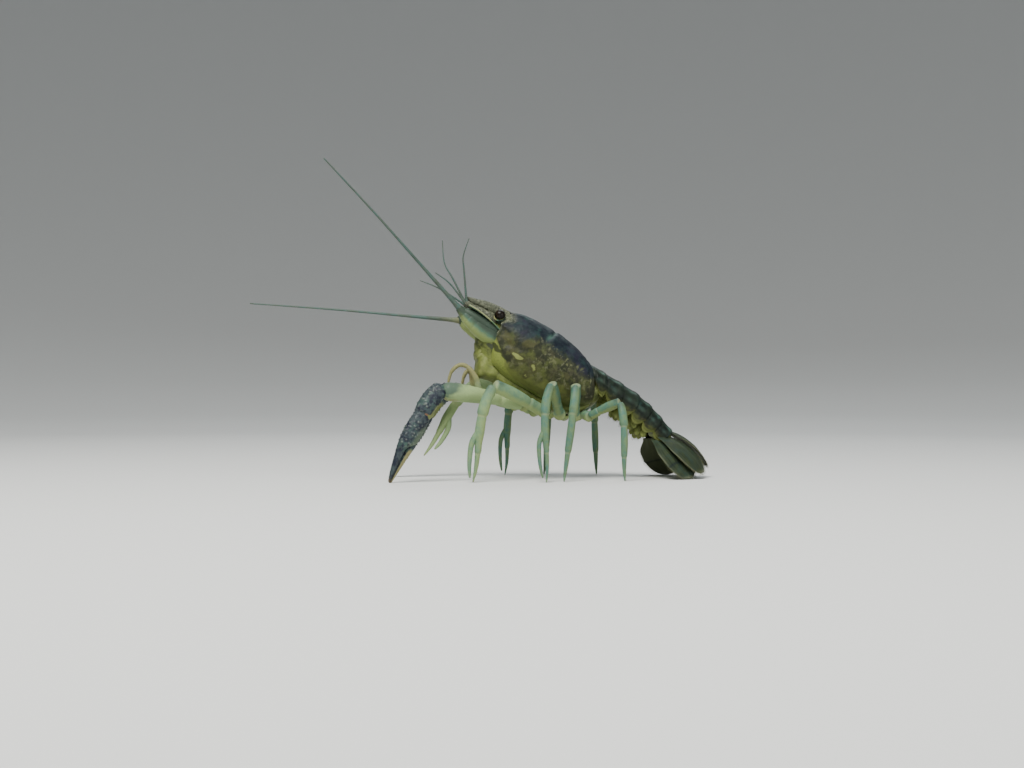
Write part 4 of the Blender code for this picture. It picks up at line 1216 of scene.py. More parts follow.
def make_underside(flesh, limb):
    """The sternum, the face below the antennae and the ten coxae."""
    slices = []
    for row, depth in zip(CARAPACE, STERNUM_DEPTHS):
        forward = row[0] + row[6] * row[4]
        slices.append((forward, row[5] + 0.15, row[4] + 1.2, row[4] - 0.3 - depth))
    slices.extend(FACE)
    table = [(i / (len(slices) - 1), *row) for i, row in enumerate(slices)]

    def row_at(u):
        forward, half_width, high, low = [curve(table, u, column) for column in range(1, 5)]
        size = sqrt(min(1.0, u / 0.03))
        middle = (high + low) * 0.5
        tall = (high - low) * 0.5 * size

        def at(v):
            across, lift = squared(tau * v, 0.75)
            return body_point(forward, half_width * size * across, middle + tall * lift)

        return at

    def relief(u, v, point):
        bars = sin(u * 44.0) * ease(0.1, 0.2, u) * fade(0.6, 0.7, u)
        return 0.08 * bars, 0.5, 0.0, 0.0, max(0.0, -bars) * 0.3

    form = Form()
    form.emboss(form.drape(110, 56, row_at), relief)

    def face_section(u):
        height = FACE_TOP + (FACE_FOOT - FACE_TOP) * u
        return height, *[curve(FACE_OUTLINE, -height, column) for column in (1, 2, 3)]

    def face_middle(u):
        height, fore, rear, _ = face_section(u)
        return body_point((fore + rear) * 0.5, 0.0, height)

    def face_size(u):
        _, fore, rear, half_width = face_section(u)
        ends = round_ends(u, 0.04, 0.12)
        return (fore - rear) * 0.5 * ends, half_width * ends

    def face_relief(u, v, point):
        grain = granules(point, 0.8, 0.4)
        swell = noise.noise(point * 0.9) * 0.06
        fold = ridge(u - 0.60 - 0.04 * cos(tau * v), 0.02)
        lips = ridge(abs(point.y) - 1.1, 0.16) * ease(0.68, 0.78, u)
        forward, depth = body_place(point)
        dusk = 0.45 + 0.75 * fade(11.5, 14.5, -depth)
        blotch = 1.2 * ridge(forward - 25.6, 1.0) * ridge(depth + 8.6, 1.3)
        blotch += 1.1 * ridge(forward - 24.8, 1.2) * ridge(depth + 14.6, 1.0)
        blotch -= 1.1 * ridge(forward - 28.3, 0.8) * ridge(depth + 8.7, 0.7)
        blotch -= 1.1 * ridge(forward - 25.0, 1.6) * ridge(depth + 10.8, 0.7)
        fold = 0.3 * (fold + lips)
        return 0.06 * grain + swell - 0.5 * fold, dusk, 0.0, 0.0, fold, blotch

    form.ball(Vector((30.8, 0.0, 22.4)), (2.8, 6.0, 4.6), 40, 28, (1.0, 0.0, 0.0, 0.25))
    form.limb(face_relief, face_middle, face_size, AFT, 90, 72, lambda u: DORSAL * -u)
    form.piece("thorax_flesh", flesh, "underside", "thorax_underside")

    coxae = Form()
    for side, _ in SIDES:
        for number in range(5):
            direction = coxa_direction(number, side)
            end = hip(number, side)
            path = route([end - direction * 4.4, end - direction * 1.6, end + direction * 0.25])

            def relief(u, v, point):
                rim = ridge(u - 0.80, 0.05)
                low = underneath(point - path(u))
                height = 0.12 * rim - 0.1 * ridge(u - 0.66, 0.04)
                return height, 0.3 + 0.6 * low, 0.25, 0.0, 0.6 * ridge(u - 0.95, 0.05)

            size_at = swelling(COXA_PROFILE, COXA_RADIUS[number])
            coxae.limb(relief, path, size_at, Vector((1.0, 0.0, 0.0)), 30, 24)
    coxae.piece("coxae", limb, "limb")


def make_eyes(eye, limb):
    for side, label in SIDES:
        centre = body_point(27.4, side * 4.2, -2.85)
        root = body_point(26.4, side * 2.9, -4.2)
        axis = (centre - root).normalized()
        form = Form()
        made = bmesh.ops.create_uvsphere(
            form.bm, u_segments=40, v_segments=28, radius=EYE_RADIUS
        )["verts"]
        turn = axis.to_track_quat("Z", "Y").to_matrix()
        for vert in made:
            rim = ease(-0.1, -0.45, vert.co.z / EYE_RADIUS)
            vert[form.marks[3]] = rim
            vert.co = centre + turn @ vert.co * (1.0 - 0.05 * rim)
        form.piece("cornea_" + label, eye, "eye", "eye_" + label)
        stalk = Form()
        top = centre - axis * (EYE_RADIUS * 0.42)
        path = route([root - axis * 0.9, root.lerp(centre, 0.35), top])

        def size_at(u):
            size = curve(((0.0, 0.6), (0.2, 0.9), (0.5, 1.1), (0.85, 1.56), (1.0, 1.42)), u)
            if u > 0.97:
                size = 0.0
            return size, size

        def relief(u, v, point):
            offset = point - path(u)
            fore = offset.dot(-AFT) / max(offset.length, 0.001)
            rim = ease(0.70, 0.80, u) * ease(-0.2, 0.5, fore)
            return 0.0, 0.2, 1.0 - rim, 0.0, 0.0, 2.0 * rim - 1.0

        stalk.limb(relief, path, size_at, SIDE, 24, 28)
        stalk.piece("stalk_" + label, limb, "limb", "eyestalk_" + label)


def ringed_whip(form, knots, root_radius, tip_radius, ring, sides, pale=0.0):
    """A tapering feeler with a raised ring every few tenths of a millimetre."""
    path = route(knots)
    length = sum((path((i + 1) / 50.0) - path(i / 50.0)).length for i in range(50))
    count = int(length / ring)
    rows = count * 4

    def size_at(u):
        size = root_radius + (tip_radius - root_radius) * u ** 0.8
        size += 0.42 * root_radius * ridge(u, 0.07)
        if u > 0.999 or u < 0.001:
            size = 0.0
        return size, size

    def relief(u, v, point):
        wave = 0.5 - 0.5 * cos(tau * u * count)
        return 0.05 * wave * (1.0 - 0.7 * u), pale * ridge(u, 0.12), 0.0, 1.0 - wave, 0.0

    form.limb(relief, path, size_at, SIDE, rows, sides)


PEDUNCLE = (
    (0.0, 1.7), (0.12, 2.3), (0.3, 2.35), (0.41, 2.2), (0.44, 2.12), (0.58, 1.92), (0.615, 1.78),
    (0.74, 1.50), (0.785, 1.34), (0.92, 1.08), (0.985, 0.84), (1.0, 0.0),
)


def make_antennae(limb, feeler):
    whips = {
        -1: ((-16.4, -7.0, 57.0), (-27.2, -10.5, 68.2), (-39.6, -14.0, 80.6)),
        1: ((-18.7, 7.0, 42.7), (-35.7, 11.5, 44.3), (-57.0, 16.5, 45.9)),
    }
    ends = {-1: body_point(37.4, -3.5, -7.0), 1: body_point(35.0, 3.4, -9.1)}
    for side, label in SIDES:
        end = ends[side]
        base = Form()
        knots = [
            body_point(24.9, side * 3.2, -8.6),
            body_point(28.6, side * 3.5, -8.7),
            body_point(31.4, side * 3.6, -8.5).lerp(end, 0.2),
            body_point(33.6, side * 3.5, -8.2).lerp(end, 0.4),
            end,
        ]
        path = route(knots)

        def relief(u, v, point):
            joint = max(ridge(u - spot, 0.012) for spot in (0.435, 0.605, 0.78))
            grain = granules(point, 0.7, 0.4)
            low = underneath(point - path(u))
            height = 0.05 * grain - 0.08 * joint
            dark = 0.9 - 0.8 * ease(0.3, 0.8, low) * fade(0.6, 1.0, u)
            return height, ease(0.35, 0.85, low), 0.4 * (1.0 - low), 0.0, 0.0, -dark

        base.limb(relief, path, swelling(PEDUNCLE, depth=0.96), SIDE, 72, 40)
        crest = body_point(30.6, side * 3.5, -6.95)
        base.ball(crest, (5.8, 2.15, 1.85), 40, 24, (0.1, 0.3, 0.0, 0.0, -0.85))
        base.spine(body_point(28.4, side * 5.0, -8.4), SIDE * (side * 0.35) - AFT, 1.1, 0.3)
        base.piece("antenna_stem_" + label, limb, "limb", "antenna_base_" + label)

        whip = Form()
        bends = [Vector(place) for place in whips[side]]
        away = (bends[0] - end).normalized()
        knots = [end - away * 0.6, end.lerp(bends[0], 0.5), *bends]
        ringed_whip(whip, knots, 0.62, 0.16, 0.42, 12, 0.5 + 0.5 * side)
        whip.piece("antenna_whip_" + label, feeler, "feeler", "antenna_" + label)

        make_scale(side, label, limb)


def make_scale(side, label, limb):
    """The antennal scale: a stiff outer edge painted pale as a highlight, a spine, a fringed inner
    edge.
    """
    root = body_point(25.4, side * 4.1, -6.2)
    tip = body_point(35.2, side * 4.6, -5.2)
    slope = SIDE * (side * 0.9) + DORSAL * 0.12
    point, ahead, across = blade_surface(root, tip, slope, 1.65, 0.25, 0.4, 0.2)

    def relief(u, v, place):
        span = -cos(tau * v)
        edge = ridge(span - 1.0, 0.12) * ease(0.26, 0.36, u)
        # The raised outer edge is painted pale by the seam and pale marks: a painted highlight
        # where it catches the light
        return 0.12 * edge, 0.35, 0.3, 0.0, 0.9 * edge, 0.9 * edge - 0.35

    form = Form()
    form.emboss(form.drape(48, 40, blade_rows(point, lambda u: 1.03 * u)), relief)
    form.spine(point(0.97, 0.6, 0.0), ahead, 1.1, 0.2)
    draw = random.Random(11)
    for i in range(70):
        share = 0.25 + 0.76 * i / 69.0
        rim = point(min(share, 1.0), -1.0, 0.0)
        out = (ahead * (0.4 + share) - across).normalized()
        form.hair(rim, out, draw.uniform(0.6, 0.9), 0.025)
    form.piece("scale_blade_" + label, limb, "limb", "antennal_scale_" + label)


ANTENNULE_STEM = (
    (0.0, 1.2), (0.1, 1.45), (0.3, 1.50), (0.42, 1.36), (0.47, 1.20), (0.52, 1.22), (0.7, 1.0),
    (0.74, 0.86), (0.8, 0.86), (0.95, 0.64), (1.0, 0.0),
)


def make_antennules(shell, feeler):
    routes = {
        -1: (
            ((-2.7, -1.7, 54.0), (-3.0, -2.4, 57.6), (-1.6, -3.2, 62.2)),
            ((-6.4, -1.6, 50.6), (-10.3, -2.0, 53.4)),
        ),
        1: (
            ((-5.2, 2.0, 52.3), (-7.2, 2.8, 56.2), (-7.6, 3.8, 62.2)),
            ((-8.6, 2.2, 49.5), (-13.6, 3.0, 51.6)),
        ),
    }
    for side, label in SIDES:
        stem = Form()
        form = Form()
        root = body_point(25.4, side * 1.7, -4.3)
        end = body_point(36.6, side * 1.15, -4.75)
        path = route([root, root.lerp(end, 0.5), end])

        def relief(u, v, point):
            joint = max(ridge(u - 0.47, 0.015), ridge(u - 0.74, 0.015))
            return -0.06 * joint, 0.6, 1.0, 0.0, 0.0, 0.0

        stem.limb(relief, path, swelling(ANTENNULE_STEM), SIDE, 60, 32)
        stem.piece("antennule_stem_" + label, shell, "limb")
        for number, places in enumerate(routes[side]):
            start = end + DORSAL * (0.22 - 0.44 * number) + AFT * 0.5
            knots = [start, *[Vector(place) for place in places]]
            ringed_whip(form, knots, 0.3, 0.1, 0.3, 8)
        form.piece("antennule_whips_" + label, feeler, "feeler", "antennule_" + label)


# Third maxillipeds: radii at even steps, then the X and Z of each side's arch, and how far
# from the middle its knots lie
MAXILLIPED_RADII = (1.0, 1.0, 0.95, 0.88, 0.80, 0.70, 0.64, 0.58, 0.56, 0.54, 0.48, 0.40, 0.3)
MAXILLIPED_ARCHES = {
    -1: ((0.3, 26.0), (-1.7, 28.9), (-3.9, 29.6), (-6.0, 27.9), (-6.9, 24.9)),
    1: ((0.3, 24.9), (-0.2, 27.2), (-1.2, 28.1), (-2.2, 26.6), (-2.7, 24.2)),
}
MAXILLIPED_ACROSS = (2.8, 2.6, 2.35, 2.1, 2.0)
MAXILLIPED_JOINTS = (0.30, 0.52, 0.70, 0.87)


def make_maxillipeds(limb):
    """The third maxillipeds, arched forward from under the mouth, with hairy inner edges."""
    draw = random.Random(3)
    stops = [(i / (len(MAXILLIPED_RADII) - 1), size) for i, size in enumerate(MAXILLIPED_RADII)]
    for side, label in SIDES:
        knots = [Vector((5.6, side * 2.4, 21.9)), Vector((1.6, side * 2.9, 22.3))]
        for (x, z), across in zip(MAXILLIPED_ARCHES[side], MAXILLIPED_ACROSS):
            knots.append(Vector((x, side * across, z)))
        path = route(knots)

        def size_at(u):
            pinch = 1.0 - 0.14 * sum(ridge(u - spot, 0.018) for spot in MAXILLIPED_JOINTS)
            size = curve(stops, u) * pinch * round_ends(u, 0.05, 0.05)
            return size * 0.8, size

        def relief(u, v, point):
            joint = min(sum(ridge(u - spot, 0.012) for spot in MAXILLIPED_JOINTS), 1.0)
            pale = ease(0.25, 0.45, u)
            return 0.0, 0.5 + 0.5 * pale, 0.3 * (1.0 - pale), 0.0, joint * 0.4, 0.4 + 0.6 * pale

        form = Form()
        form.limb(relief, path, size_at, SIDE, 90, 24)
        for _ in range(150):
            u = draw.uniform(0.15, 0.99)
            lean = draw.uniform(-0.3, 0.5)
            inward = Vector((lean, -side * draw.uniform(0.2, 1.0), draw.uniform(-1.0, 0.1)))
            root = path(u) + inward.normalized() * (size_at(u)[1] * 0.75)
            form.hair(root, inward, draw.uniform(0.6, 1.2), 0.022)
        form.piece("mouth_leg_" + label, limb, "limb", "maxilliped_" + label)


ARM_PROFILE = (
    (0.0, 0.5), (0.03, 0.66), (0.14, 0.72), (0.24, 0.70), (0.275, 0.56), (0.32, 0.68),
    (0.55, 0.86), (0.80, 1.0), (0.92, 1.0), (1.0, 0.9),
)
WRIST_PROFILE = ((0.0, 0.86), (0.15, 0.94), (0.4, 1.04), (0.7, 1.06), (0.92, 1.0), (1.0, 0.94))
# Share of the claw's length from the wrist, then its width and its thickness
CHELA_PROFILE = (
    (0.0, 0.80, 0.84), (0.04, 0.86, 0.90), (0.12, 0.93, 0.97), (0.26, 1.0, 1.0),
    (0.4, 0.98, 0.95), (0.5, 0.86, 0.82), (0.62, 0.7, 0.64), (0.78, 0.5, 0.46),
    (0.92, 0.3, 0.28), (1.0, 0.17, 0.16),
)


FINGER_SPLIT = (0.40, 0.54)
FINGER_ROOT = 0.405
PALM_TEETH = 180.0
FINGER_TEETH = 110.0


def make_claw(side, label, knee, wrist, tip, facing, finishes):
    """One claw limb: arm, wrist, and the palm with its two closed fingers."""
    limb, claw, membrane = finishes
    start = hip(0, side)
    draw = random.Random(20 + side)

    def bowed(near, far, bow):
        return lambda u: near.lerp(far, u) + bow * (4.0 * u * (1.0 - u))

    arm = Form()
    path = bowed(start, knee, UP * 0.4)
    arm_size = swelling(ARM_PROFILE, MERUS_RADIUS, (0.04, 0.10), 0.86)

    def arm_relief(u, v, point):
        low = underneath(point - path(u))
        grain = granules(point, 0.95, 0.36) * ease(0.4, 0.8, u)
        top = ease(0.60, 0.92, u) * fade(0.35, 0.8, low)
        edge = ease(0.75, 0.92, low) * 0.4 + ease(0.80, 0.95, u) * 0.7
        dark = min(top + edge + 0.2 * fade(0.0, 0.3, low), 1.2)
        under = ease(0.84, 0.95, low) * ease(0.7, 0.85, u)
        seam = 0.4 * ridge(u - 0.275, 0.015)
        return 0.10 * grain, 0.85, dark - 1.2 * under, 1.0, seam, 0.7 * under

    arm.limb(arm_relief, path, arm_size, SIDE, 110, 48)
    ahead = (knee - start).normalized()
    for i in range(7):
        u = 0.42 + 0.08 * i
        down = square_to(ahead, -UP)
        for lean in (-0.5, 0.5):
            out = (down + SIDE * lean).normalized()
            arm.spine(path(u) + out * (arm_size(u)[1] * 0.93), out + ahead * 0.5, 0.75, 0.24)
    arm.ball(knee, (1.5, 1.45, 1.5), marks=(0.2, 1.2, 0.0, 0.0))
    arm.piece("claw_arm_{}_shell".format(label), limb, "limb", "claw_arm_" + label)

    joint = Form()
    chela = (tip - wrist).normalized()
    inward = square_to(chela, facing)
    outer = wrist + SIDE * (side * 1.35) + inward * 0.5
    joint.ball(outer, (0.8, 0.7, 0.9))
    joint.ball(wrist + inward * 0.5, (1.1, 0.9, 1.1))
    joint.piece("claw_joints_" + label, membrane, "claw")

    carpus = Form()
    collar = (wrist - knee).normalized()
    path = bowed(knee - collar * 1.1, wrist + collar * 0.7, UP * 0.5 - AFT * 0.2)
    wrist_size = swelling(WRIST_PROFILE, MERUS_RADIUS, (0.14, 0.08), 0.92)

    def wrist_relief(u, v, point):
        grain = granules(point, 0.92, 0.44)
        furrow = ridge((v - 0.25) * 9.0, 0.5) * ease(0.15, 0.35, u) * fade(0.7, 0.9, u)
        low = underneath(point - path(u))
        inner = (point - path(u)).normalized().dot(inward)
        lower = ease(0.1, 0.8, inner) * ease(0.35, 0.7, u)
        bright = grain * (0.15 + 0.85 * ease(0.2, 0.7, -inner))
        return 0.20 * grain - 0.15 * furrow, 0.5 * lower + 0.25 * low, 0.0, bright, 0.0, -lower

    carpus.limb(wrist_relief, path, wrist_size, SIDE, 64, 72)
    ahead = (wrist - knee).normalized()
    for turn, length in ((inward, 1.3), (inward * 0.6 + UP, 0.8), (inward * 0.5 - UP * 0.6, 0.8)):
        out = square_to(ahead, turn)
        carpus.spine(path(0.66) + out * (MERUS_RADIUS * 0.98), out + ahead * 0.7, length, 0.3)

    def lobe_relief(u, v, point):
        yellow = -0.5 if point.z > wrist.z + 1.0 else -1.0
        return 0.08 * granules(point, 0.8, 0.4), 0.6, 0.0, 0.0, 0.0, yellow

    def elbow_relief(u, v, point):
        return 0.12 * granules(point, 0.9, 0.44), 0.0, 0.0, 0.3, 0.0, 0.0

    lobe = wrist + inward * 1.3 + SIDE * (side * 0.75) + UP * 0.3
    carpus.emboss(carpus.ball(lobe, (1.5, 1.4, 1.9), 30, 22), lobe_relief)
    elbow = wrist - inward * 0.3
    carpus.emboss(carpus.ball(elbow, (2.15, 1.6, 2.15), 36, 26), elbow_relief)
    bead = wrist + SIDE * (side * 1.5) + inward * 0.75 + UP * 0.85
    carpus.ball(bead, (0.42, 0.42, 0.42), 14, 10, (0.0, 0.0, 2.0, 0.0, 0.0))
    carpus.piece("claw_wrist_{}_shell".format(label), claw, "claw", "claw_wrist_" + label)

    third = chela.cross(inward)
    rows = (
        (inward, 0.0, 1.0, 8),
        (inward + third * 0.45, 0.03, 0.9, 7),
        (inward - third * 0.45, 0.03, 0.9, 7),
    )

    def chela_path(u, offset):
        wide = PALM_HALF_WIDTH * curve(CHELA_PROFILE, u)
        bow = -0.5 * 4.0 * u * (1.0 - u)
        return wrist.lerp(tip, u) + inward * (bow + wide * offset)

    def straight(u):
        return chela * u

    def bristles(form, count, span, path, size_at, lengths, width):
        """Short hairs that lean towards the tip, over the given share of the length."""
        for _ in range(count):
            u = draw.uniform(*span)
            turn = draw.uniform(0.0, tau)
            wide, tall = size_at(u)
            out = inward * cos(turn) + third * sin(turn)
            root = path(u) + inward * (wide * cos(turn)) + third * (tall * sin(turn))
            form.hair(root, out + chela * 1.6, draw.uniform(*lengths), width)

    palm = Form()

    def palm_size(u):
        finger = ease(*FINGER_SPLIT, u)
        wide = PALM_HALF_WIDTH * curve(CHELA_PROFILE, u) * (1.0 - 0.50 * finger)
        tall = PALM_HALF_THICKNESS * curve(CHELA_PROFILE, u, 2) * (1.0 - 0.1 * finger)
        ends = round_ends(u, 0.045, 0.025)
        return wide * ends, tall * ends

    def palm_path(u):
        return chela_path(u, -0.5 * ease(*FINGER_SPLIT, u))

    def palm_relief(u, v, point):
        finger = ease(0.45, 0.55, u)
        facing_in = cos(tau * v)
        size = 1.0 - 0.65 * ease(0.45, 0.9, u)
        grain = granules(point, 0.82, 0.47) * ease(0.02, 0.06, u)
        teeth = ease(0.75, 1.0, facing_in) * finger * (0.5 - 0.5 * cos(u * PALM_TEETH))
        groove = finger * ridge((abs(v - 0.5) - 0.25) * 8.0, 0.3)
        height = 0.2 * grain * size * (1.0 - 0.6 * finger) + 0.12 * teeth - 0.08 * groove
        paler = 0.9 * ease(-0.45, 0.55, facing_in) * (1.0 - finger) * ease(0.10, 0.26, u)
        bright = grain * (1.0 - 0.7 * finger) * (1.0 - 0.7 * ease(0.0, 0.8, facing_in))
        return height * (1.0 - 0.4 * paler), paler, ease(0.93, 0.99, u), bright, 0.0, 0.0

    palm.limb(palm_relief, palm_path, palm_size, inward, 190, 96, straight)
    for turn, shift, scale, count in rows:
        out = turn.normalized()
        for i in range(count):
            u = 0.07 + shift + 0.31 * i / (count - 1)
            wide, tall = palm_size(u)
            reach = hypot(wide * out.dot(inward), tall * out.dot(third))
            root = palm_path(u) + out * reach
            palm.spine(root, out * 1.5 + chela, 0.62 * scale, 0.3 * scale, 0.22)
    bristles(palm, 120, (0.08, 0.97), palm_path, palm_size, (0.35, 0.6), 0.022)
    palm.piece("claw_palm_{}_shell".format(label), claw, "claw", "claw_palm_" + label)

    dactyl = Form()

    def finger_u(u):
        return FINGER_ROOT + (1.0 - FINGER_ROOT) * u

    def finger_size(u):
        s = finger_u(u)
        wide = PALM_HALF_WIDTH * curve(CHELA_PROFILE, s) * 0.5
        tall = PALM_HALF_THICKNESS * curve(CHELA_PROFILE, s, 2) * 0.9
        ends = round_ends(u, 0.08, 0.03)
        return wide * ends, tall * ends

    def finger_path(u):
        return chela_path(finger_u(u), 0.52)

    def finger_relief(u, v, point):
        facing_in = cos(tau * v)
        grain = granules(point, 0.8, 0.42) * fade(0.5, 0.9, u)
        teeth = ease(0.75, 1.0, -facing_in) * ease(0.15, 0.25, u)
        teeth = teeth * (0.5 - 0.5 * cos(u * FINGER_TEETH + 1.5))
        groove = ridge((abs(v - 0.5) - 0.25) * 8.0, 0.3) * ease(0.15, 0.3, u)
        height = 0.14 * grain + 0.1 * teeth - 0.08 * groove
        pale = ease(0.05, 0.30, u) * ease(-0.85, -0.35, facing_in)
        inner = 0.5 * fade(0.0, 0.25, u)
        return height, inner, ease(0.9, 0.98, u), 0.3 * grain, 0.0, pale

    dactyl.limb(finger_relief, finger_path, finger_size, inward, 120, 56, straight)
    bristles(dactyl, 50, (0.1, 0.95), finger_path, finger_size, (0.3, 0.5), 0.02)
    dactyl.piece("claw_finger_{}_shell".format(label), claw, "claw", "claw_finger_" + label)


THIGH_PROFILE = (
    (0.0, 0.7), (0.04, 0.92), (0.2, 0.92), (0.27, 0.96), (0.30, 0.82), (0.345, 0.90),
    (0.6, 1.05), (0.93, 1.0), (0.97, 1.04), (1.0, 0.85),
)
SHIN_PROFILE = (
    (0.0, 0.66), (0.05, 0.80), (0.14, 0.86), (0.27, 0.90), (0.295, 0.86), (0.315, 0.72),
    (0.34, 0.74), (0.52, 0.77), (0.66, 0.70), (0.685, 0.66), (0.705, 0.54), (0.73, 0.53),
    (0.86, 0.40), (0.97, 0.2), (1.0, 0.1),
)
PINCER_PROFILE = ((0.0, 0.5), (0.2, 0.5), (0.45, 0.42), (0.75, 0.32), (1.0, 0.14))
SHIN_BOW = (
    (0.0, 0.0), (0.14, 0.045), (0.29, 0.06), (0.52, 0.045), (0.68, 0.02), (0.86, 0.0), (1.0, 0.0),
)


def make_leg(number, side, label, knee, foot, pincer, limb):
    """A walking leg in two pieces, above and below its knee."""
    start = hip(number, side)
    radius = LEG_RADIUS[number - 1]
    thigh = (knee - start).normalized()
    name = "leg_{}_{}_".format(number + 1, label)
    draw = random.Random(40 + number * 2 + side)
    # The raised right leg lies in the body's shadow: bright and dusky paint it paler, yellower and
    # with fewer dusky marks, as painted light. The other second leg takes a little of the pale
    # green
    raised = number == 1 and side == 1
    bright = 1.3 if raised else 0.4 if number == 1 else 0.0
    shade = 0.0 if number == 1 else -0.32
    dusky = 0.2 if raised else 1.0

    def thigh_path(u):
        return start.lerp(knee, u) + UP * (0.3 * 4.0 * u * (1.0 - u))

    def thigh_relief(u, v, point):
        low = underneath(point - thigh_path(u))
        joint = max(0.6 * ridge(u - 0.302, 0.012), ridge(u - 0.985, 0.012))
        dark = 0.35 * fade(0.1, 0.6, low) + 0.45 * ease(0.75, 0.92, u)
        return 0.0, 0.9 * ease(0.4, 1.0, low), dark * dusky, bright, joint, shade

    upper = Form()
    thigh_size = swelling(THIGH_PROFILE, radius, (0.05, 0.05), 0.78)
    upper.limb(thigh_relief, thigh_path, thigh_size, SIDE, 72, 24)
    upper.piece(name + "thigh", limb, "limb", name + "upper")

    length = (foot - knee).length
    shin = (foot - knee).normalized()
    bulge = (Vector((0.0, side, 0.0)) + thigh * 0.5).normalized()
    if pincer:
        bulge = Vector((-1.2, side * 0.5, 0.0)).normalized()

    def shin_path(u):
        return knee.lerp(foot, u) + bulge * (curve(SHIN_BOW, u) * length)

    def shin_size(u):
        size = radius * curve(SHIN_PROFILE, u) * round_ends(u, 0.03, 0.012)
        if pincer:
            size *= 1.0 - 0.22 * ease(0.48, 0.62, u)
        return size * 0.86, size

    def shin_relief(u, v, point):
        inner = 0.5 + 0.5 * (point - shin_path(u)).normalized().dot(AFT)
        joint = 0.8 * max(ridge(u - 0.316, 0.009), ridge(u - 0.708, 0.009))
        dark = 0.5 * fade(0.04, 0.18, u) + 0.3 * ridge(u - 0.28, 0.03)
        dark += 0.25 * ridge(u - 0.66, 0.05) + 0.25 * (1.0 - inner)
        # On the raised leg, bright also paints the shin yellower: painted light
        warm = 0.1 + 0.6 * inner + 0.4 * bright * ease(0.1, 0.3, u)
        return 0.0, warm, dark * dusky, bright, joint, shade + 0.5 * ease(0.93, 1.0, u)

    lower = Form()
    lower.limb(shin_relief, shin_path, shin_size, SIDE, 110, 22)
    if pincer:
        base = shin_path(0.46)
        end = knee.lerp(foot, 0.955) + pincer
        bend = square_to(shin, pincer)
        bends = [base.lerp(end, 0.3) + bend * 1.3, base.lerp(end, 0.7) + bend * 0.9]
        finger = route([base, *bends, end])
        finger_size = swelling(PINCER_PROFILE, radius, (0.1, 0.06))

        def finger_relief(u, v, point):
            return 0.0, 0.4, 0.0, bright, 0.5 * ridge(u - 0.06, 0.04), shade

        lower.limb(finger_relief, finger, finger_size, SIDE, 40, 16)
    for _ in range(70):
        u = draw.uniform(0.36, 0.98) ** 0.8
        turn = draw.uniform(0.0, tau)
        out = Vector((cos(turn), sin(turn), 0.0))
        out = square_to(shin, out)
        root = shin_path(u) + out * (shin_size(u)[0] * 0.85)
        lower.hair(root, out + shin * 1.3, draw.uniform(0.4, 0.9), 0.02)
    lower.piece(name + "shin", limb, "limb", name + "lower")


def leg_poses():
    """Knee, foot and pincer direction of each walking leg, by number and side."""
    fore = Vector((-1.0, 0.0, 0.0))
    return {
        (1, -1): ((2.9, -15.0, 24.4), (-2.5, -15.5, 0.0), fore),
        (2, -1): ((17.9, -14.0, 24.8), (15.6, -19.0, 0.0), fore),
        (3, -1): ((24.2, -13.8, 24.4), (20.4, -17.4, 0.0), None),
        (4, -1): ((36.0, -13.0, 20.0), (36.4, -16.4, 0.0), None),
        (1, 1): ((3.4, 14.8, 25.6), (-11.4, 12.6, 5.6), Vector((2.2, 0.0, 0.8))),
        (2, 1): ((14.3, 14.2, 24.4), (11.4, 18.0, 0.0), fore),
        (3, 1): ((23.8, 14.4, 23.8), (22.4, 19.0, 0.0), None),
        (4, 1): ((35.0, 13.4, 20.6), (36.6, 17.0, 0.0), None),
    }


def make_limbs(limb, claw, membrane):
    claws = {
        -1: ((-10.1, -11.0, 23.0), (-14.4, -12.0, 17.6), (-23.2, -13.0, 0.0)),
        1: ((-5.1, 10.0, 22.9), (-10.6, 11.0, 17.5), (-20.2, 14.0, 0.0)),
    }
    inward = {-1: Vector((1.0, 0.55, 0.0)), 1: Vector((1.0, -0.55, 0.0))}
    for side, label in SIDES:
        knee, wrist, tip = [Vector(place) for place in claws[side]]
        make_claw(side, label, knee, wrist, tip, inward[side], (limb, claw, membrane))
    labels = dict(SIDES)
    for (number, side), (knee, foot, pincer) in leg_poses().items():
        make_leg(number, side, labels[side], Vector(knee), Vector(foot), pincer, limb)


FLOOR_RADIUS = 0.45
FLOOR_BEND = 1.4


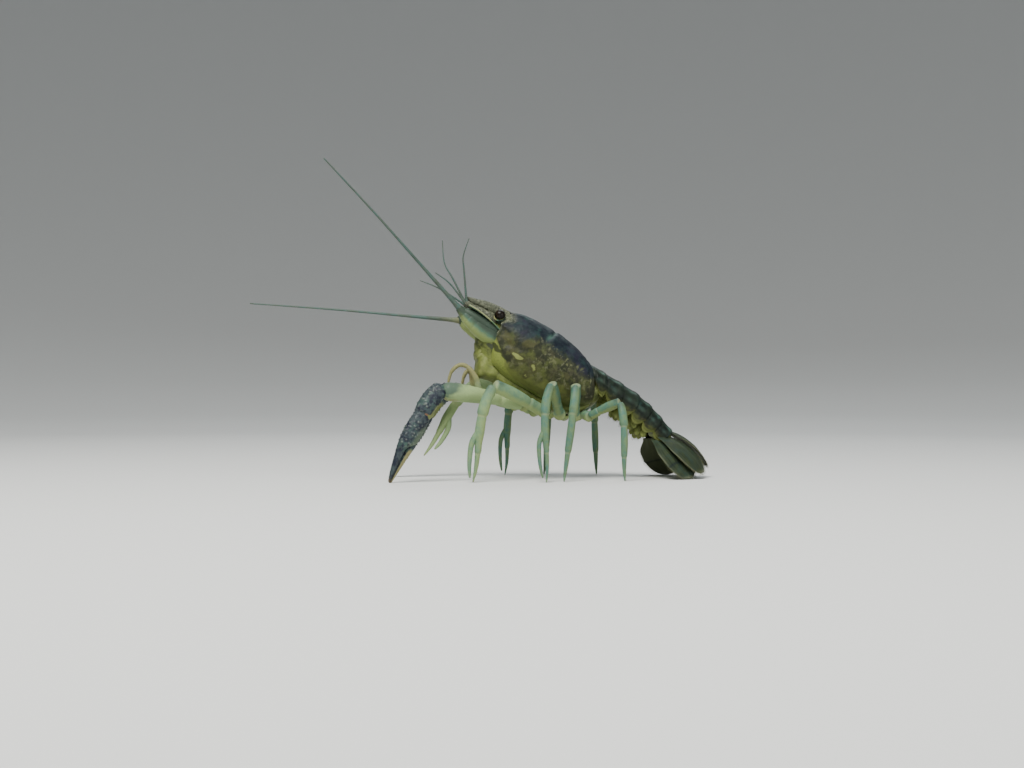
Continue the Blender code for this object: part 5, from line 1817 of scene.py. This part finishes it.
def make_stage():
    """A pale round floor that curves up at its edge, and soft studio light."""
    bm = bmesh.new()
    points = [(0.0, 0.0), (FLOOR_RADIUS, 0.0)]
    for i in range(1, 17):
        turn = 0.5 * pi * i / 16
        rise = FLOOR_BEND - FLOOR_BEND * cos(turn)
        points.append((FLOOR_RADIUS + FLOOR_BEND * sin(turn), rise))
    points.append((FLOOR_RADIUS + FLOOR_BEND, 2.0))
    verts = [bm.verts.new((x, 0.0, z)) for x, z in points]
    edges = [bm.edges.new(pair) for pair in zip(verts, verts[1:])]
    bmesh.ops.spin(
        bm, geom=verts + edges, axis=UP, cent=(0.0, 0.0, 0.0), angle=tau, steps=96, use_merge=True
    )
    bmesh.ops.remove_doubles(bm, verts=bm.verts, dist=WELD)
    bmesh.ops.recalc_face_normals(bm, faces=bm.faces)
    bmesh.ops.reverse_faces(bm, faces=bm.faces)
    mesh = bpy.data.meshes.new("studio_floor")
    bm.to_mesh(mesh)
    bm.free()
    mesh.shade_smooth()
    make = Finish("studio_floor")
    mesh.materials.append(make.done((0.62, 0.63, 0.62), 0.75))
    floor = put_in_scene("studio_floor", mesh)
    world = bpy.data.worlds.new("studio_air")
    world.use_nodes = True
    air = world.node_tree.nodes["Background"]
    air.inputs["Color"].default_value = (0.80, 0.86, 0.92, 1.0)
    air.inputs["Strength"].default_value = 0.30
    bpy.context.scene.world = world
    lights = (
        ("key_light", (-0.16, -0.30, 0.55), 0.34, 8.2, (1.0, 0.98, 0.93)),
        ("fill_light", (0.35, -0.50, 0.12), 0.50, 2.2, (0.94, 0.97, 1.0)),
        ("rim_light", (0.15, 0.40, 0.45), 0.35, 1.0, (0.92, 0.97, 1.0)),
    )
    target = Vector((0.0, 0.0, 0.025))
    for name, place, size, power, colour in lights:
        lamp = bpy.data.lights.new(name, "AREA")
        lamp.size = size
        lamp.energy = power
        lamp.color = colour
        obj = put_in_scene(name, lamp)
        obj.location = place
        obj.rotation_euler = (target - Vector(place)).to_track_quat("-Z", "Y").to_euler()


def make_camera():
    """Level with the back's middle, turned a little towards the animal's front."""
    yaw = radians(10.0)
    look = Vector((sin(yaw), cos(yaw), 0.0))
    lens = bpy.data.cameras.new("photo_view")
    lens.lens = 60.0
    lens.sensor_width = 36.0
    camera = put_in_scene("photo_view", lens)
    camera.location = Vector((-0.0699, -0.4380, 0.0247))
    camera.rotation_euler = look.to_track_quat("-Z", "Y").to_euler()
    bpy.context.scene.camera = camera


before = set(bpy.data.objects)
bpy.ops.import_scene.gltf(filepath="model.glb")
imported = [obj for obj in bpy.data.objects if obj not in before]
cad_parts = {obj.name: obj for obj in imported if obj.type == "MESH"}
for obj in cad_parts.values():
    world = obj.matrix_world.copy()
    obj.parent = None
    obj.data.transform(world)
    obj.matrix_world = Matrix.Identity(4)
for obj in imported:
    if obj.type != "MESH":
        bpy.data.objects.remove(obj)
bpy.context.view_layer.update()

SHELL = shell_finish("crayfish_shell", NAVY, SLATE, VIOLET)
RING = shell_finish("crayfish_pleon", PLEON_DARK, PLEON_GREEN, PLEON_GREEN)
FLESH = flesh_finish()
LIMB = limb_finish()
CLAW = claw_finish()
FAN = fan_finish()
FEELER = feeler_finish()
EYE = eye_finish()
HAIR = hair_finish()
MEMBRANE = membrane_finish()

make_carapace(SHELL)
PLANES = pleon_planes()
for index, (fore_plane, rear_plane) in enumerate(zip(PLANES, PLANES[1:]), start=1):
    make_tergite(index, fore_plane, rear_plane, RING)
make_belly(PLANES, FLESH)
make_swimmerets(PLANES, FLESH)
make_tail_fan(PLANES, FAN)
make_underside(FLESH, LIMB)
make_eyes(EYE, LIMB)
make_antennae(LIMB, FEELER)
make_antennules(SHELL, FEELER)
make_maxillipeds(LIMB)
make_limbs(LIMB, CLAW, MEMBRANE)
make_stage()
make_camera()
